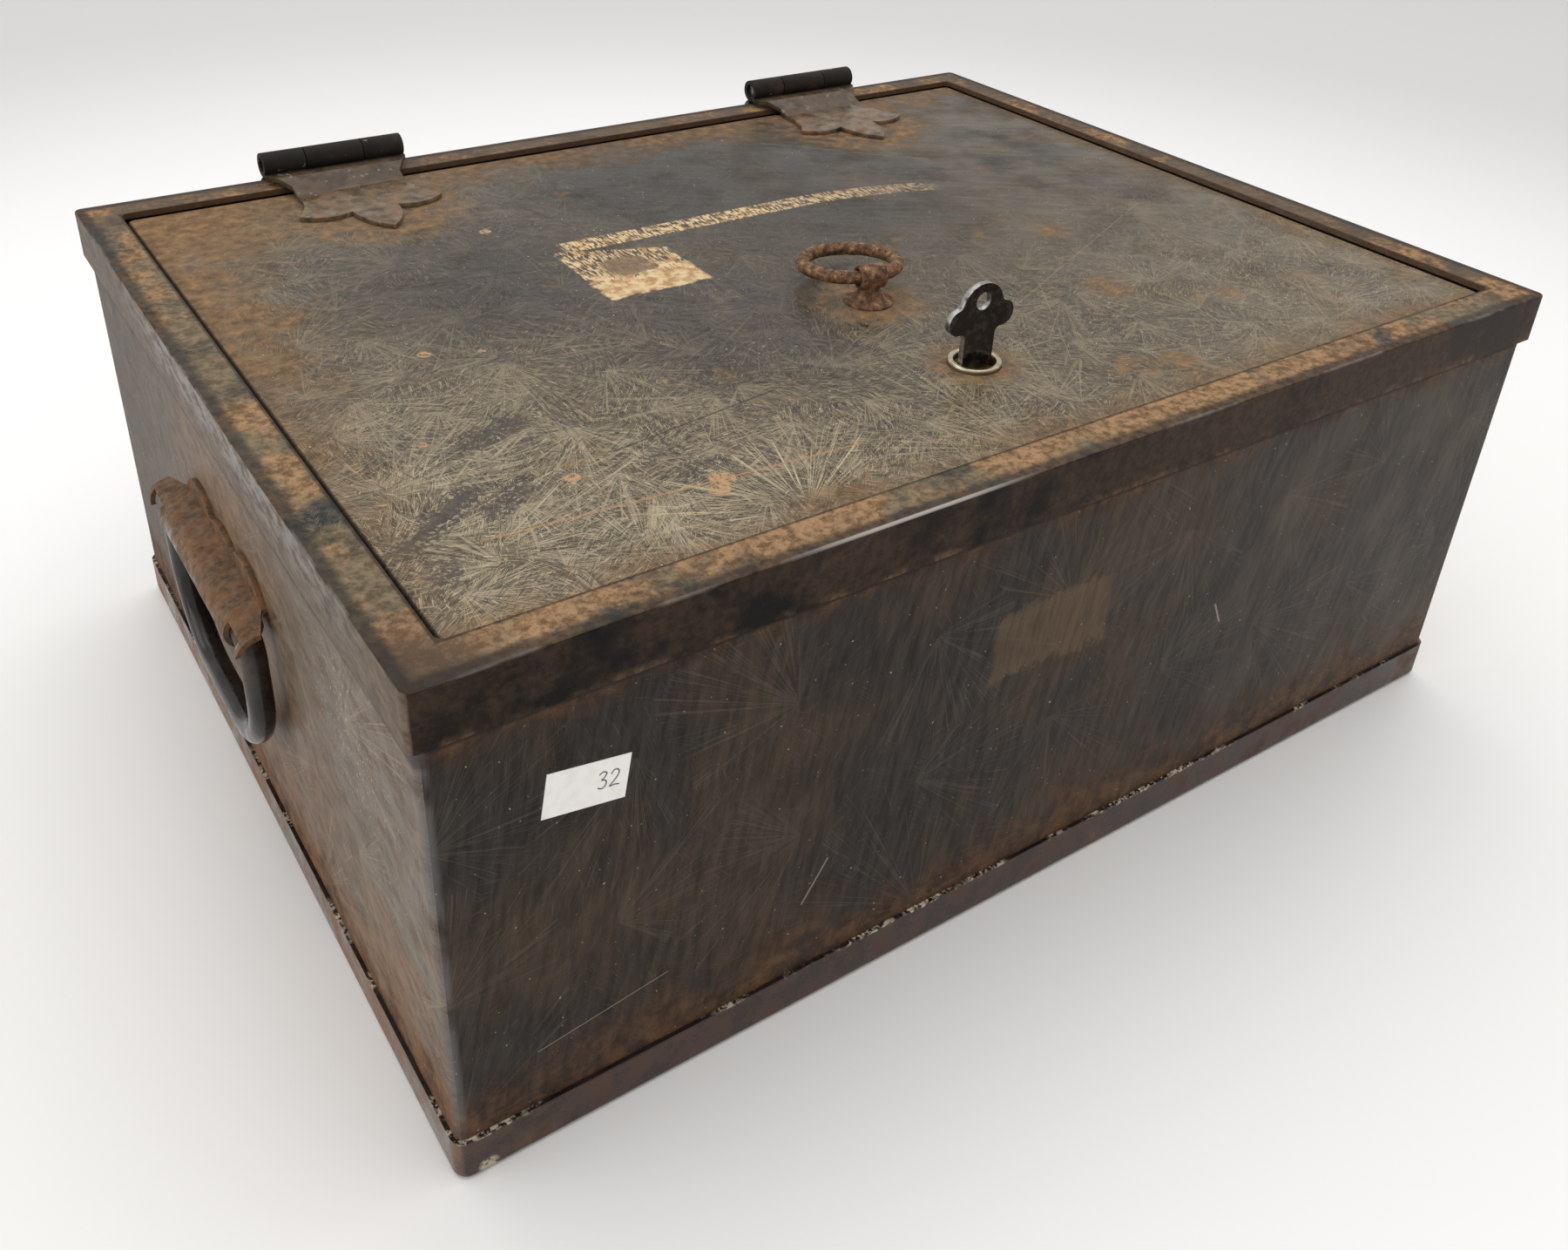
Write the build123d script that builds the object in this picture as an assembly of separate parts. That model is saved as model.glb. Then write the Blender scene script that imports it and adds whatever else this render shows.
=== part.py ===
from build123d import *
import math
import os

# A steel strongbox, modelled lid closed and unlocked, with its key in the lock.
# Millimetres, +Z up, +X to the right along the front, +Y to the back.
# The origin is the middle of the base, on the surface that the box stands on.

# Overall size, over the top frame
BOX_WIDTH = 406.4
BOX_DEPTH = 311.0
BOX_HEIGHT = 162.0

# Top frame, four bars of angle mitred at the corners
FRAME_THICK = 2.0
FRAME_FLANGE = 13.0
FRAME_SKIRT = 16.5
FRAME_CORNER_R = 2.5
FRAME_EDGE_R = 0.7

# Folded body, the strip that joins its ends, and the base pan that it stands in
WALL_THICK = 1.6
WALL_CORNER_R = 3.0
SEAM_FROM_RIGHT = 83.2
SEAM_GAP = 0.4
SEAM_STRIP_WIDTH = 30.0
PAN_THICK = 1.2
PAN_BAND = 14.6
PAN_EDGE_R = 1.8

# Lid, a plate with its four edges folded down, resting on a ledge of angle
LID_DROP = 2.0
LID_THICK = 2.0
LID_GAP = 1.2
LID_FLANGE = 12.0
LID_CORNER_R = 3.0
LID_EDGE_R = 1.2
LEDGE_THICK = 1.6
LEDGE_REACH = 20.0
LEDGE_GAP = 0.2
BAR_END_GAP = 0.1

# Hinges, each with a cranked lid leaf that ends in three pointed lobes
HINGE_FROM_END = 93.7
LEAF_THICK = 1.8
BARREL_R = 4.5
BARREL_LENGTH = 54.4
BARREL_ABOVE_FRAME = 2.0
MIDDLE_KNUCKLE = 22.0
KNUCKLE_GAP = 0.3
PIN_CLEARANCE = 0.1
PIN_RECESS = 1.5
REAR_LEAF_DROP = 15.0
REAR_LEAF_CORNER_R = 4.0
REAR_LEAF_SHOULDER = 5.0
SHOULDER_REACH = 5.0
WAIST_HALF = 20.8
WAIST_START = 15.0
WAIST_END = 26.0
SIDE_LOBE_INSET = 0.2
SIDE_LOBE_REACH = 41.2
CUSP_HALF = 8.6
CUSP_REACH = 44.4
LOBE_BULGE = 3.3
FLARE_BULGE = 1.1
CENTRE_LOBE_REACH = 64.0
CENTRE_LOBE_BULGE = 2.3
CRANK_START = 10.0
CRANK_END = 20.0
CRANK_BEND_R = 3.0

# Pull ring and its stud, in the middle of the lid
STUD_FROM_FRONT = 112.0
STUD_BASE_R = 8.3
STUD_BASE_HIGH = 0.9
STUD_NECK_R = 3.5
STUD_FLARE_HIGH = 4.2
STUD_FLARE_MIDDLE_OUT = 0.28
STUD_FLARE_MIDDLE_UP = 0.42
STUD_SHANK_R = 2.5
STUD_HOLE_GAP = 0.1
STUD_WASHER_R = 7.0
STUD_WASHER_THICK = 1.4
STUD_PEEN_R = 4.2
STUD_PEEN_HIGH = 1.2
EYE_HEIGHT = 8.8
EYE_R = 4.1
EYE_LENGTH = 9.0
EYE_GAP = 0.23
RING_OUTER = 36.0
RING_WIRE = 4.5
RING_TURN = -11.0
RING_TILT = 5.0

# Lock, under the lid
KEY_FROM_FRONT = 60.0
COLLAR_R = 8.3
COLLAR_BORE_R = 6.3
COLLAR_HIGH = 1.6
COLLAR_ROUND = 0.75
CYLINDER_R = 7.2
CYLINDER_BORE_R = 6.0
CYLINDER_HOLE_GAP = 0.1
CYLINDER_LENGTH = 17.6
CYLINDER_BELOW_LID_TOP = 0.4
CYLINDER_FLANGE_R = 10.5
CYLINDER_FLANGE_THICK = 1.6
CYLINDER_LIP_R = 4.3
CYLINDER_LIP_THICK = 1.6
PLUG_GAP = 0.1
PLUG_BELOW_LID_TOP = 1.4
TAIL_SQUARE = 5.0
TAIL_GAP = 0.1
PEEN_R = 3.4
PEEN_THICK = 0.5
WAFER_COUNT = 5
WAFER_THICK = 0.8
WAFER_PITCH = 2.3
WAFER_FIRST = 3.2
WAFER_HALF_X = 5.0
WAFER_HALF_Y = 2.3
WAFER_GAP = 0.1
CASE_WIDTH = 52.0
CASE_FRONT = 37.0
CASE_BACK = 25.0
CASE_THICK = 1.4
CASE_CORNER_R = 2.0
COVER_THICK = 1.4
PILLAR_R = 2.6
PILLAR_BORE_R = 1.25
GUIDE_PILLAR_X = 16.5
GUIDE_PILLAR_Y = -8.8
REAR_PILLAR_X = 20.5
REAR_PILLAR_Y = 18.7
SCREW_R = 1.15
SCREW_HOLE_R = 1.4
SCREW_LENGTH = 9.0
SCREW_HEAD_R = 2.8
SCREW_HEAD_THICK = 1.4
SCREW_SLOT_WIDE = 0.7
SCREW_SLOT_DEEP = 0.6
CAM_THICK = 1.8
CAM_HUB_R = 6.0
CAM_ARM_R = 3.4
CAM_PIN_ORBIT = 8.0
CAM_PIN_R = 2.0
CAM_GAP = 0.2
CAM_PIN_SLACK = 0.35
CAM_PIN_END_GAP = 0.5
KEY_TURN = 90.0
BOLT_THICK = 4.0
BOLT_WIDTH = 16.0
BOLT_SLIDE_GAP = 0.3
BOLT_BELOW_CAM = 0.8
BOLT_ABOVE_COVER = 0.6
BOLT_NOSE_PROUD = 0.5
BOLT_TAIL_WIDTH = 42.0
BOLT_TAIL_FRONT = 16.8
BOLT_TAIL_BACK = 11.2
BOLT_NOSE_CHAMFER = 0.8

# Keeper, an angle welded inside the front wall, that the bolt slides under
KEEPER_WIDTH = 36.0
KEEPER_THICK = 2.0
KEEPER_LEG = 20.0
KEEPER_GAP = 0.4

# Key, cut from flat plate
KEY_THICK = 2.0
KEY_TOP = 26.2
KEY_TOP_R = 7.9
KEY_SIDE_R = 4.0
KEY_SIDE_X = 8.4
KEY_SIDE_Z = 15.2
KEY_NECK_HALF = 5.8
KEY_BLEND_R = 2.0
KEY_HOLE_R = 2.8
KEY_HOLE_BELOW_TOP = 5.6
KEY_EDGE_R = 0.3
KEY_SHOULDER_GAP = 0.15
BLADE_HALF = 4.2
BLADE_LENGTH = 12.4
BLADE_GAP_X = 0.2
BLADE_GAP_Y = 0.1
BLADE_TIP = 1.4
BLADE_CUTS = (0.9, 1.5, 0.6, 1.2)
BLADE_CUT_WIDE = 1.3

# Side handles, a rolled sheet plate with a wavy top that holds a round bail
BAIL_ROD_R = 3.8
BAIL_AXIS_OUT = 6.5
BAIL_AXIS_HEIGHT = 102.0
BAIL_HALF = 41.5
BAIL_DROP = 46.0
BAIL_TOP_BEND_R = 6.0
BAIL_BOTTOM_BEND_R = 28.0
BAIL_BUTT_GAP = 0.6
ROLL_GAP = 0.2
PLATE_THICK = 1.6
PLATE_HALF = 48.2
ROLL_HALF = 35.3
ROLL_TAIL_ANGLE = 150.0
NOTCH_GAP = 0.4
PLATE_LEAVES_WALL = 7.0
PLATE_CUSP_HALF = 10.5
PLATE_CUSP_HIGH = 9.6
PLATE_CENTRE_HIGH = 12.4
PLATE_LOBE_HALF = 25.0
PLATE_LOBE_HIGH = 14.6
PLATE_LOBE_END = 38.5
PLATE_END_OFF_WALL = 4.8
PLATE_END_FROM = 3.2
TAB_TIP_BELOW_AXIS = 1.2
TAB_EDGE_RISE = 3.2

# Price label on the front wall
LABEL_WIDTH = 22.0
LABEL_HEIGHT = 13.0
LABEL_THICK = 0.15
LABEL_FROM_LEFT = 41.3
LABEL_Z = 116.4
LABEL_TILT = 9.0

# Places worked out from the sizes above
FRONT = -BOX_DEPTH / 2
REAR = BOX_DEPTH / 2
WALL_HALF_X = BOX_WIDTH / 2 - FRAME_THICK
SEAM_X = BOX_WIDTH / 2 - SEAM_FROM_RIGHT
WALL_HALF_Y = BOX_DEPTH / 2 - FRAME_THICK
INNER_HALF_X = WALL_HALF_X - WALL_THICK
INNER_HALF_Y = WALL_HALF_Y - WALL_THICK
INNER_CORNER_R = WALL_CORNER_R - WALL_THICK
FRAME_UNDER = BOX_HEIGHT - FRAME_THICK
OPENING_WIDTH = BOX_WIDTH - 2 * FRAME_FLANGE
OPENING_DEPTH = BOX_DEPTH - 2 * FRAME_FLANGE
LID_TOP = BOX_HEIGHT - LID_DROP
LID_UNDER = LID_TOP - LID_THICK
LID_WIDTH = OPENING_WIDTH - 2 * LID_GAP
LID_DEPTH = OPENING_DEPTH - 2 * LID_GAP
LEDGE_TOP = LID_TOP - LID_FLANGE - LEDGE_GAP
LEDGE_UNDER = LEDGE_TOP - LEDGE_THICK
HINGE_X = BOX_WIDTH / 2 - HINGE_FROM_END
SIDE_LOBE_HALF = BARREL_LENGTH / 2 - SIDE_LOBE_INSET
HINGE_Y = REAR + LEAF_THICK - BARREL_R
HINGE_Z = BOX_HEIGHT + BARREL_ABOVE_FRAME + BARREL_R
KNUCKLE_BORE_R = BARREL_R - LEAF_THICK
STUD_Y = FRONT + STUD_FROM_FRONT
EYE_Z = LID_TOP + EYE_HEIGHT
RING_R = (RING_OUTER - RING_WIRE) / 2
RING_SAG = RING_R - math.sqrt(RING_R ** 2 - (EYE_LENGTH / 2) ** 2)
EYE_BORE_R = RING_WIRE / 2 + RING_SAG / 2 + EYE_GAP
KEY_Y = FRONT + KEY_FROM_FRONT
CYLINDER_TOP = LID_TOP - CYLINDER_BELOW_LID_TOP
CYLINDER_UNDER = CYLINDER_TOP - CYLINDER_LENGTH
CASE_BACK_UNDER = LID_UNDER - CASE_THICK
PLUG_TOP = LID_TOP - PLUG_BELOW_LID_TOP
PLUG_STEP = CYLINDER_UNDER + CYLINDER_LIP_THICK + PLUG_GAP
CAM_TOP = CYLINDER_UNDER - CAM_GAP
CAM_UNDER = CAM_TOP - CAM_THICK
BOLT_TOP = CAM_UNDER - BOLT_BELOW_CAM
BOLT_UNDER = BOLT_TOP - BOLT_THICK
COVER_TOP = BOLT_UNDER - BOLT_ABOVE_COVER
COVER_UNDER = COVER_TOP - COVER_THICK
CASE_FRONT_Y = KEY_Y - CASE_FRONT
CASE_BACK_Y = KEY_Y + CASE_BACK
BOLT_TRAVEL = 2 * CAM_PIN_ORBIT * math.sin(math.radians(KEY_TURN / 2))
BOLT_NOSE_Y = CASE_FRONT_Y - BOLT_NOSE_PROUD
CAM_PIN_X = CAM_PIN_ORBIT * math.cos(math.radians(KEY_TURN / 2))
CAM_PIN_Y = KEY_Y + BOLT_TRAVEL / 2
PILLAR_PLACES = [
    (-GUIDE_PILLAR_X, KEY_Y + GUIDE_PILLAR_Y),
    (GUIDE_PILLAR_X, KEY_Y + GUIDE_PILLAR_Y),
    (-REAR_PILLAR_X, KEY_Y + REAR_PILLAR_Y),
    (REAR_PILLAR_X, KEY_Y + REAR_PILLAR_Y),
]
KEY_SHOULDER = PLUG_TOP + KEY_SHOULDER_GAP
BLADE_END = KEY_SHOULDER - BLADE_LENGTH
KEEPER_UNDER = BOLT_TOP + KEEPER_GAP
ROLL_INNER_R = BAIL_ROD_R + ROLL_GAP
ROLL_OUTER_R = ROLL_INNER_R + PLATE_THICK

# How far a cutting tool runs past what it cuts, and a distance too small to matter
PAST = 5.0
HAIR = 0.1


def block(x0, x1, y0, y1, z0, z1):
    """A box between two opposite corners."""
    middle = Pos((x0 + x1) / 2, (y0 + y1) / 2, (z0 + z1) / 2)
    return middle * Box(abs(x1 - x0), abs(y1 - y0), abs(z1 - z0))


def slab(width, depth, corner_r, z0, z1):
    """A plate centred on the box, with rounded upright corners."""
    return Pos(0, 0, z0) * extrude(RectangleRounded(width, depth, corner_r), amount=z1 - z0)


def rod(x, y, z0, z1, radius):
    """An upright round bar."""
    return Pos(x, y, (z0 + z1) / 2) * Cylinder(radius, z1 - z0)


def outline_plate(profile, z0, z1):
    """A flat plate cut to a profile drawn in plan."""
    return Pos(0, 0, z0) * extrude(profile, amount=z1 - z0)


def along_x(profile, x0, x1):
    """A bar along X, from a section drawn with (y, z)."""
    plane = Plane(origin=(x0, 0, 0), x_dir=(0, 1, 0), z_dir=(1, 0, 0))
    return extrude(plane * profile, amount=x1 - x0)


def polygon(*points):
    """A face with straight sides."""
    return make_face(Polyline(*points, close=True))


# Top frame

def frame_ring():
    ring = slab(BOX_WIDTH, BOX_DEPTH, FRAME_CORNER_R, BOX_HEIGHT - FRAME_SKIRT, BOX_HEIGHT)
    top_outline = ring.faces().sort_by(Axis.Z)[-1].outer_wire().edges()
    ring = fillet(top_outline, FRAME_EDGE_R)
    skirt_foot = BOX_HEIGHT - FRAME_SKIRT
    ring -= slab(2 * WALL_HALF_X, 2 * WALL_HALF_Y, WALL_CORNER_R, skirt_foot - PAST, FRAME_UNDER)
    ring -= slab(OPENING_WIDTH, OPENING_DEPTH, FRAME_CORNER_R, FRAME_UNDER - PAST, BOX_HEIGHT + PAST)
    return ring


def mitre_wedge(half_long, half_short):
    """The plan of one bar along X at the front, ended by the mitres through the frame's corners."""
    inward = FRAME_FLANGE + PAST
    return polygon(
        (-half_long - PAST, -half_short - PAST),
        (half_long + PAST, -half_short - PAST),
        (half_long - inward, -half_short + inward),
        (-half_long + inward, -half_short + inward),
    )


def frame_bars():
    """The four bars, by side."""
    ring = frame_ring()
    long_wedge = outline_plate(mitre_wedge(BOX_WIDTH / 2, BOX_DEPTH / 2), 0, BOX_HEIGHT + PAST)
    short_wedge = outline_plate(mitre_wedge(BOX_DEPTH / 2, BOX_WIDTH / 2), 0, BOX_HEIGHT + PAST)
    return {
        "front": ring & long_wedge,
        "rear": ring & (Rot(0, 0, 180) * long_wedge),
        "right": ring & (Rot(0, 0, 90) * short_wedge),
        "left": ring & (Rot(0, 0, -90) * short_wedge),
    }


# Body

def body_wrap():
    wrap = slab(2 * WALL_HALF_X, 2 * WALL_HALF_Y, WALL_CORNER_R, PAN_THICK, FRAME_UNDER)
    wrap -= slab(2 * INNER_HALF_X, 2 * INNER_HALF_Y, INNER_CORNER_R, 0, BOX_HEIGHT)
    half = SEAM_GAP / 2
    return wrap - block(SEAM_X - half, SEAM_X + half, INNER_HALF_Y - PAST, WALL_HALF_Y + PAST, 0, BOX_HEIGHT)


def body_seam_strip():
    half = SEAM_STRIP_WIDTH / 2
    strip_y = INNER_HALF_Y - WALL_THICK
    return block(SEAM_X - half, SEAM_X + half, strip_y, INNER_HALF_Y, PAN_THICK, LEDGE_UNDER)


def base_pan():
    width = 2 * (WALL_HALF_X + PAN_THICK)
    depth = 2 * (WALL_HALF_Y + PAN_THICK)
    pan = slab(width, depth, WALL_CORNER_R + PAN_THICK, 0, PAN_BAND)
    pan = fillet(pan.faces().sort_by(Axis.Z)[0].outer_wire().edges(), PAN_EDGE_R)
    return pan - slab(2 * WALL_HALF_X, 2 * WALL_HALF_Y, WALL_CORNER_R, PAN_THICK, PAN_BAND + PAST)


def ledge_bars():
    """Four strips of angle under the frame, standing on edge against the walls, that the lid rests on."""
    long_half = INNER_HALF_X - INNER_CORNER_R - BAR_END_GAP
    edge_x = BOX_WIDTH / 2 - LEDGE_REACH
    edge_y = BOX_DEPTH / 2 - LEDGE_REACH
    front = block(-long_half, long_half, -INNER_HALF_Y, -edge_y, LEDGE_UNDER, LEDGE_TOP)
    leg_y = -INNER_HALF_Y + LEDGE_THICK
    front += block(-long_half, long_half, -INNER_HALF_Y, leg_y, LEDGE_UNDER, FRAME_UNDER)
    left = block(-INNER_HALF_X, -edge_x, -edge_y, edge_y, LEDGE_UNDER, LEDGE_TOP)
    left += block(-INNER_HALF_X, -INNER_HALF_X + LEDGE_THICK, -edge_y, edge_y, LEDGE_UNDER, FRAME_UNDER)
    half_turn = Rot(0, 0, 180)
    return {"front": front, "rear": half_turn * front, "left": left, "right": half_turn * left}


def bolt_keeper():
    half = KEEPER_WIDTH / 2
    top = KEEPER_UNDER + KEEPER_THICK
    hook = block(-half, half, -INNER_HALF_Y, FRONT + LEDGE_REACH, KEEPER_UNDER, top)
    leg = block(-half, half, -INNER_HALF_Y, -INNER_HALF_Y + KEEPER_THICK, top - KEEPER_LEG, top)
    return hook + leg


def paper_label():
    middle = Pos(LABEL_FROM_LEFT - BOX_WIDTH / 2, -WALL_HALF_Y - LABEL_THICK / 2, LABEL_Z)
    return middle * Rot(0, LABEL_TILT, 0) * Box(LABEL_WIDTH, LABEL_THICK, LABEL_HEIGHT)


# Hinges

def round_hinge_axis(radius, half):
    """A round bar of that radius and half length on the hinge axis."""
    return along_x(Pos(HINGE_Y, HINGE_Z) * Circle(radius), -half, half)


def rear_leaf():
    """The fixed leaf: a plate on the frame's rear skirt that rolls into the middle knuckle."""
    knuckle_half = MIDDLE_KNUCKLE / 2
    plate_half = BARREL_LENGTH / 2
    plate_top = HINGE_Z - REAR_LEAF_SHOULDER
    plate_middle = Pos(0, REAR, (2 * plate_top - REAR_LEAF_DROP) / 2)
    face = RectangleRounded(2 * plate_half, REAR_LEAF_DROP, REAR_LEAF_CORNER_R)
    plate = plate_middle * extrude(Plane.XZ * face, amount=-LEAF_THICK)
    strap_low = plate_top - REAR_LEAF_CORNER_R
    plate += block(-knuckle_half, knuckle_half, REAR, REAR + LEAF_THICK, strap_low, HINGE_Z)
    return plate + round_hinge_axis(BARREL_R, knuckle_half) - round_hinge_axis(KNUCKLE_BORE_R, plate_half)


def leaf_outline():
    """The lid leaf in plan: full width at the barrel, a waist, then three pointed lobes."""
    barrel_back = HINGE_Y + BARREL_R + PAST
    half = BARREL_LENGTH / 2

    def place(side, u, reach):
        return (side * u, HINGE_Y - reach)

    edges = [Line((-half, barrel_back), (half, barrel_back))]
    for side in (-1, 1):
        shoulder = place(side, half, SHOULDER_REACH)
        waist_top = place(side, WAIST_HALF, WAIST_START)
        waist_end = place(side, WAIST_HALF, WAIST_END)
        side_tip = place(side, SIDE_LOBE_HALF, SIDE_LOBE_REACH)
        cusp = place(side, CUSP_HALF, CUSP_REACH)
        tip = place(side, 0, CENTRE_LOBE_REACH)
        flare_u = (WAIST_HALF + SIDE_LOBE_HALF) / 2 - FLARE_BULGE
        flare = place(side, flare_u, (WAIST_END + SIDE_LOBE_REACH) / 2)
        lobe_reach = (SIDE_LOBE_REACH + CUSP_REACH) / 2 + LOBE_BULGE
        lobe = place(side, (SIDE_LOBE_HALF + CUSP_HALF) / 2, lobe_reach)
        centre = place(side, CUSP_HALF / 2 + CENTRE_LOBE_BULGE, (CUSP_REACH + CENTRE_LOBE_REACH) / 2)
        edges.append(Line((side * half, barrel_back), shoulder))
        edges.append(Line(shoulder, waist_top))
        edges.append(Line(waist_top, waist_end))
        edges.append(ThreePointArc(waist_end, flare, side_tip))
        edges.append(ThreePointArc(side_tip, lobe, cusp))
        edges.append(ThreePointArc(cusp, centre, tip))
    return make_face(edges)


def lid_leaf_section():
    """The cranked sheet of the lid leaf, drawn with (y, z), from the lobes to under the barrel."""
    high = HINGE_Z - BARREL_R
    front = HINGE_Y - CENTRE_LOBE_REACH - PAST
    low_end = HINGE_Y - CRANK_END
    high_end = HINGE_Y - CRANK_START
    section = polygon(
        (front, LID_TOP),
        (low_end, LID_TOP),
        (high_end, high),
        (HINGE_Y, high),
        (HINGE_Y, high + LEAF_THICK),
        (high_end, high + LEAF_THICK),
        (low_end, LID_TOP + LEAF_THICK),
        (front, LID_TOP + LEAF_THICK),
    )
    bends = [v for v in section.vertices() if low_end - HAIR < v.X < high_end + HAIR]
    return fillet(bends, CRANK_BEND_R)


def lid_leaf():
    half = BARREL_LENGTH / 2
    sheet = along_x(lid_leaf_section(), -half - PAST, half + PAST)
    leaf = sheet & outline_plate(leaf_outline(), 0, HINGE_Z)
    leaf += round_hinge_axis(BARREL_R, half)
    leaf -= round_hinge_axis(KNUCKLE_BORE_R, half + PAST)
    return leaf - round_hinge_axis(BARREL_R + KNUCKLE_GAP, MIDDLE_KNUCKLE / 2 + KNUCKLE_GAP)


def hinge_pin():
    return round_hinge_axis(KNUCKLE_BORE_R - PIN_CLEARANCE, BARREL_LENGTH / 2 - PIN_RECESS)


# Lid, ring and stud

def lid_pan():
    pan = slab(LID_WIDTH, LID_DEPTH, LID_CORNER_R, LID_TOP - LID_FLANGE, LID_TOP)
    pan = fillet(pan.faces().sort_by(Axis.Z)[-1].outer_wire().edges(), LID_EDGE_R)
    inner_width = LID_WIDTH - 2 * LID_THICK
    inner_depth = LID_DEPTH - 2 * LID_THICK
    inner_r = LID_CORNER_R - LID_THICK
    pan -= slab(inner_width, inner_depth, inner_r, LID_TOP - LID_FLANGE - PAST, LID_UNDER)
    pan -= rod(0, KEY_Y, LID_UNDER - PAST, LID_TOP + PAST, CYLINDER_R + CYLINDER_HOLE_GAP)
    pan -= rod(0, STUD_Y, LID_UNDER - PAST, LID_TOP + PAST, STUD_SHANK_R + STUD_HOLE_GAP)
    return pan


def ring_stud():
    """A turned stud: flared foot, neck, an eye for the ring, and a shank peened over under the lid."""
    flare_mid_r = STUD_NECK_R + STUD_FLARE_MIDDLE_OUT * (STUD_BASE_R - STUD_NECK_R)
    flare_mid_z = STUD_BASE_HIGH + STUD_FLARE_MIDDLE_UP * (STUD_FLARE_HIGH - STUD_BASE_HIGH)
    under = -LID_THICK - STUD_WASHER_THICK
    rim = (STUD_BASE_R, STUD_BASE_HIGH)
    neck = (STUD_NECK_R, STUD_FLARE_HIGH)
    foot = [
        Line((0, 0), (STUD_BASE_R, 0)),
        Line((STUD_BASE_R, 0), rim),
        ThreePointArc(rim, (flare_mid_r, flare_mid_z), neck),
        Line(neck, (STUD_NECK_R, EYE_HEIGHT)),
        Line((STUD_NECK_R, EYE_HEIGHT), (0, EYE_HEIGHT)),
        Line((0, EYE_HEIGHT), (0, 0)),
    ]
    stud = Pos(0, STUD_Y, LID_TOP) * revolve(Plane.XZ * make_face(foot), Axis.Z)
    stud += rod(0, STUD_Y, LID_TOP + under, LID_TOP, STUD_SHANK_R)
    stud += rod(0, STUD_Y, LID_TOP + under - STUD_PEEN_HIGH, LID_TOP + under, STUD_PEEN_R)
    eye_place = Pos(0, STUD_Y, EYE_Z) * Rot(0, 0, RING_TURN) * Rot(0, 90, 0)
    stud += eye_place * Cylinder(EYE_R, EYE_LENGTH)
    return stud - eye_place * Cylinder(EYE_BORE_R, EYE_LENGTH + 2 * PAST)


def stud_washer():
    under = LID_UNDER - STUD_WASHER_THICK
    washer = rod(0, STUD_Y, under, LID_UNDER, STUD_WASHER_R)
    return washer - rod(0, STUD_Y, under - PAST, LID_UNDER + PAST, STUD_SHANK_R + STUD_HOLE_GAP)


def pull_ring():
    """The ring lies back over the lid, held a little above it by its stiff eye."""
    reach = RING_R - RING_SAG / 2
    place = Pos(0, STUD_Y, EYE_Z) * Rot(0, 0, RING_TURN) * Rot(-RING_TILT, 0, 0) * Pos(0, reach, 0)
    return place * Torus(RING_R, RING_WIRE / 2)


# Lock

def keyhole_collar():
    collar = rod(0, KEY_Y, LID_TOP, LID_TOP + COLLAR_HIGH, COLLAR_R)
    collar -= rod(0, KEY_Y, LID_TOP - PAST, LID_TOP + COLLAR_HIGH + PAST, COLLAR_BORE_R)
    return fillet(collar.edges().group_by(Axis.Z)[-1], COLLAR_ROUND)


def lock_cylinder():
    """A tube with a lip that the plug stands on, and a flange welded under the case's back."""
    flange_top = CASE_BACK_UNDER
    body = rod(0, KEY_Y, CYLINDER_UNDER, CYLINDER_TOP, CYLINDER_R)
    body += rod(0, KEY_Y, flange_top - CYLINDER_FLANGE_THICK, flange_top, CYLINDER_FLANGE_R)
    body -= rod(0, KEY_Y, CYLINDER_UNDER + CYLINDER_LIP_THICK, CYLINDER_TOP + PAST, CYLINDER_BORE_R)
    return body - rod(0, KEY_Y, CYLINDER_UNDER - PAST, CYLINDER_TOP, CYLINDER_LIP_R)


def wafer_levels():
    """The height of each wafer's middle."""
    return [PLUG_TOP - WAFER_FIRST - i * WAFER_PITCH for i in range(WAFER_COUNT)]


def key_slot(z0, z1):
    """The space that the blade slides in."""
    half_x = BLADE_HALF + BLADE_GAP_X
    half_y = KEY_THICK / 2 + BLADE_GAP_Y
    return block(-half_x, half_x, KEY_Y - half_y, KEY_Y + half_y, z0, z1)


def lock_plug():
    """The round plug that the key turns, with a stepped foot and a square tail peened over the cam."""
    plug = rod(0, KEY_Y, PLUG_STEP, PLUG_TOP, CYLINDER_BORE_R - PLUG_GAP)
    plug += rod(0, KEY_Y, CAM_TOP, PLUG_STEP, CYLINDER_LIP_R - PLUG_GAP)
    tail = TAIL_SQUARE / 2
    plug += block(-tail, tail, KEY_Y - tail, KEY_Y + tail, CAM_UNDER, CAM_TOP)
    plug += rod(0, KEY_Y, CAM_UNDER - PEEN_THICK, CAM_UNDER, PEEN_R)
    plug -= key_slot(BLADE_END - BLADE_GAP_X, PLUG_TOP + PAST)
    half_x = WAFER_HALF_X + WAFER_GAP
    half_y = WAFER_HALF_Y + WAFER_GAP
    half_z = WAFER_THICK / 2 + WAFER_GAP
    for z in wafer_levels():
        plug -= block(-half_x, half_x, KEY_Y - half_y, KEY_Y + half_y, z - half_z, z + half_z)
    return plug


def lock_wafers():
    """Thin plates across the plug, each with a window for the blade."""
    wafers = []
    for z in wafer_levels():
        z0 = z - WAFER_THICK / 2
        z1 = z + WAFER_THICK / 2
        front = KEY_Y - WAFER_HALF_Y
        wafer = block(-WAFER_HALF_X, WAFER_HALF_X, front, front + 2 * WAFER_HALF_Y, z0, z1)
        wafers.append(wafer - key_slot(z0 - PAST, z1 + PAST))
    return Compound(wafers)


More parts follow.
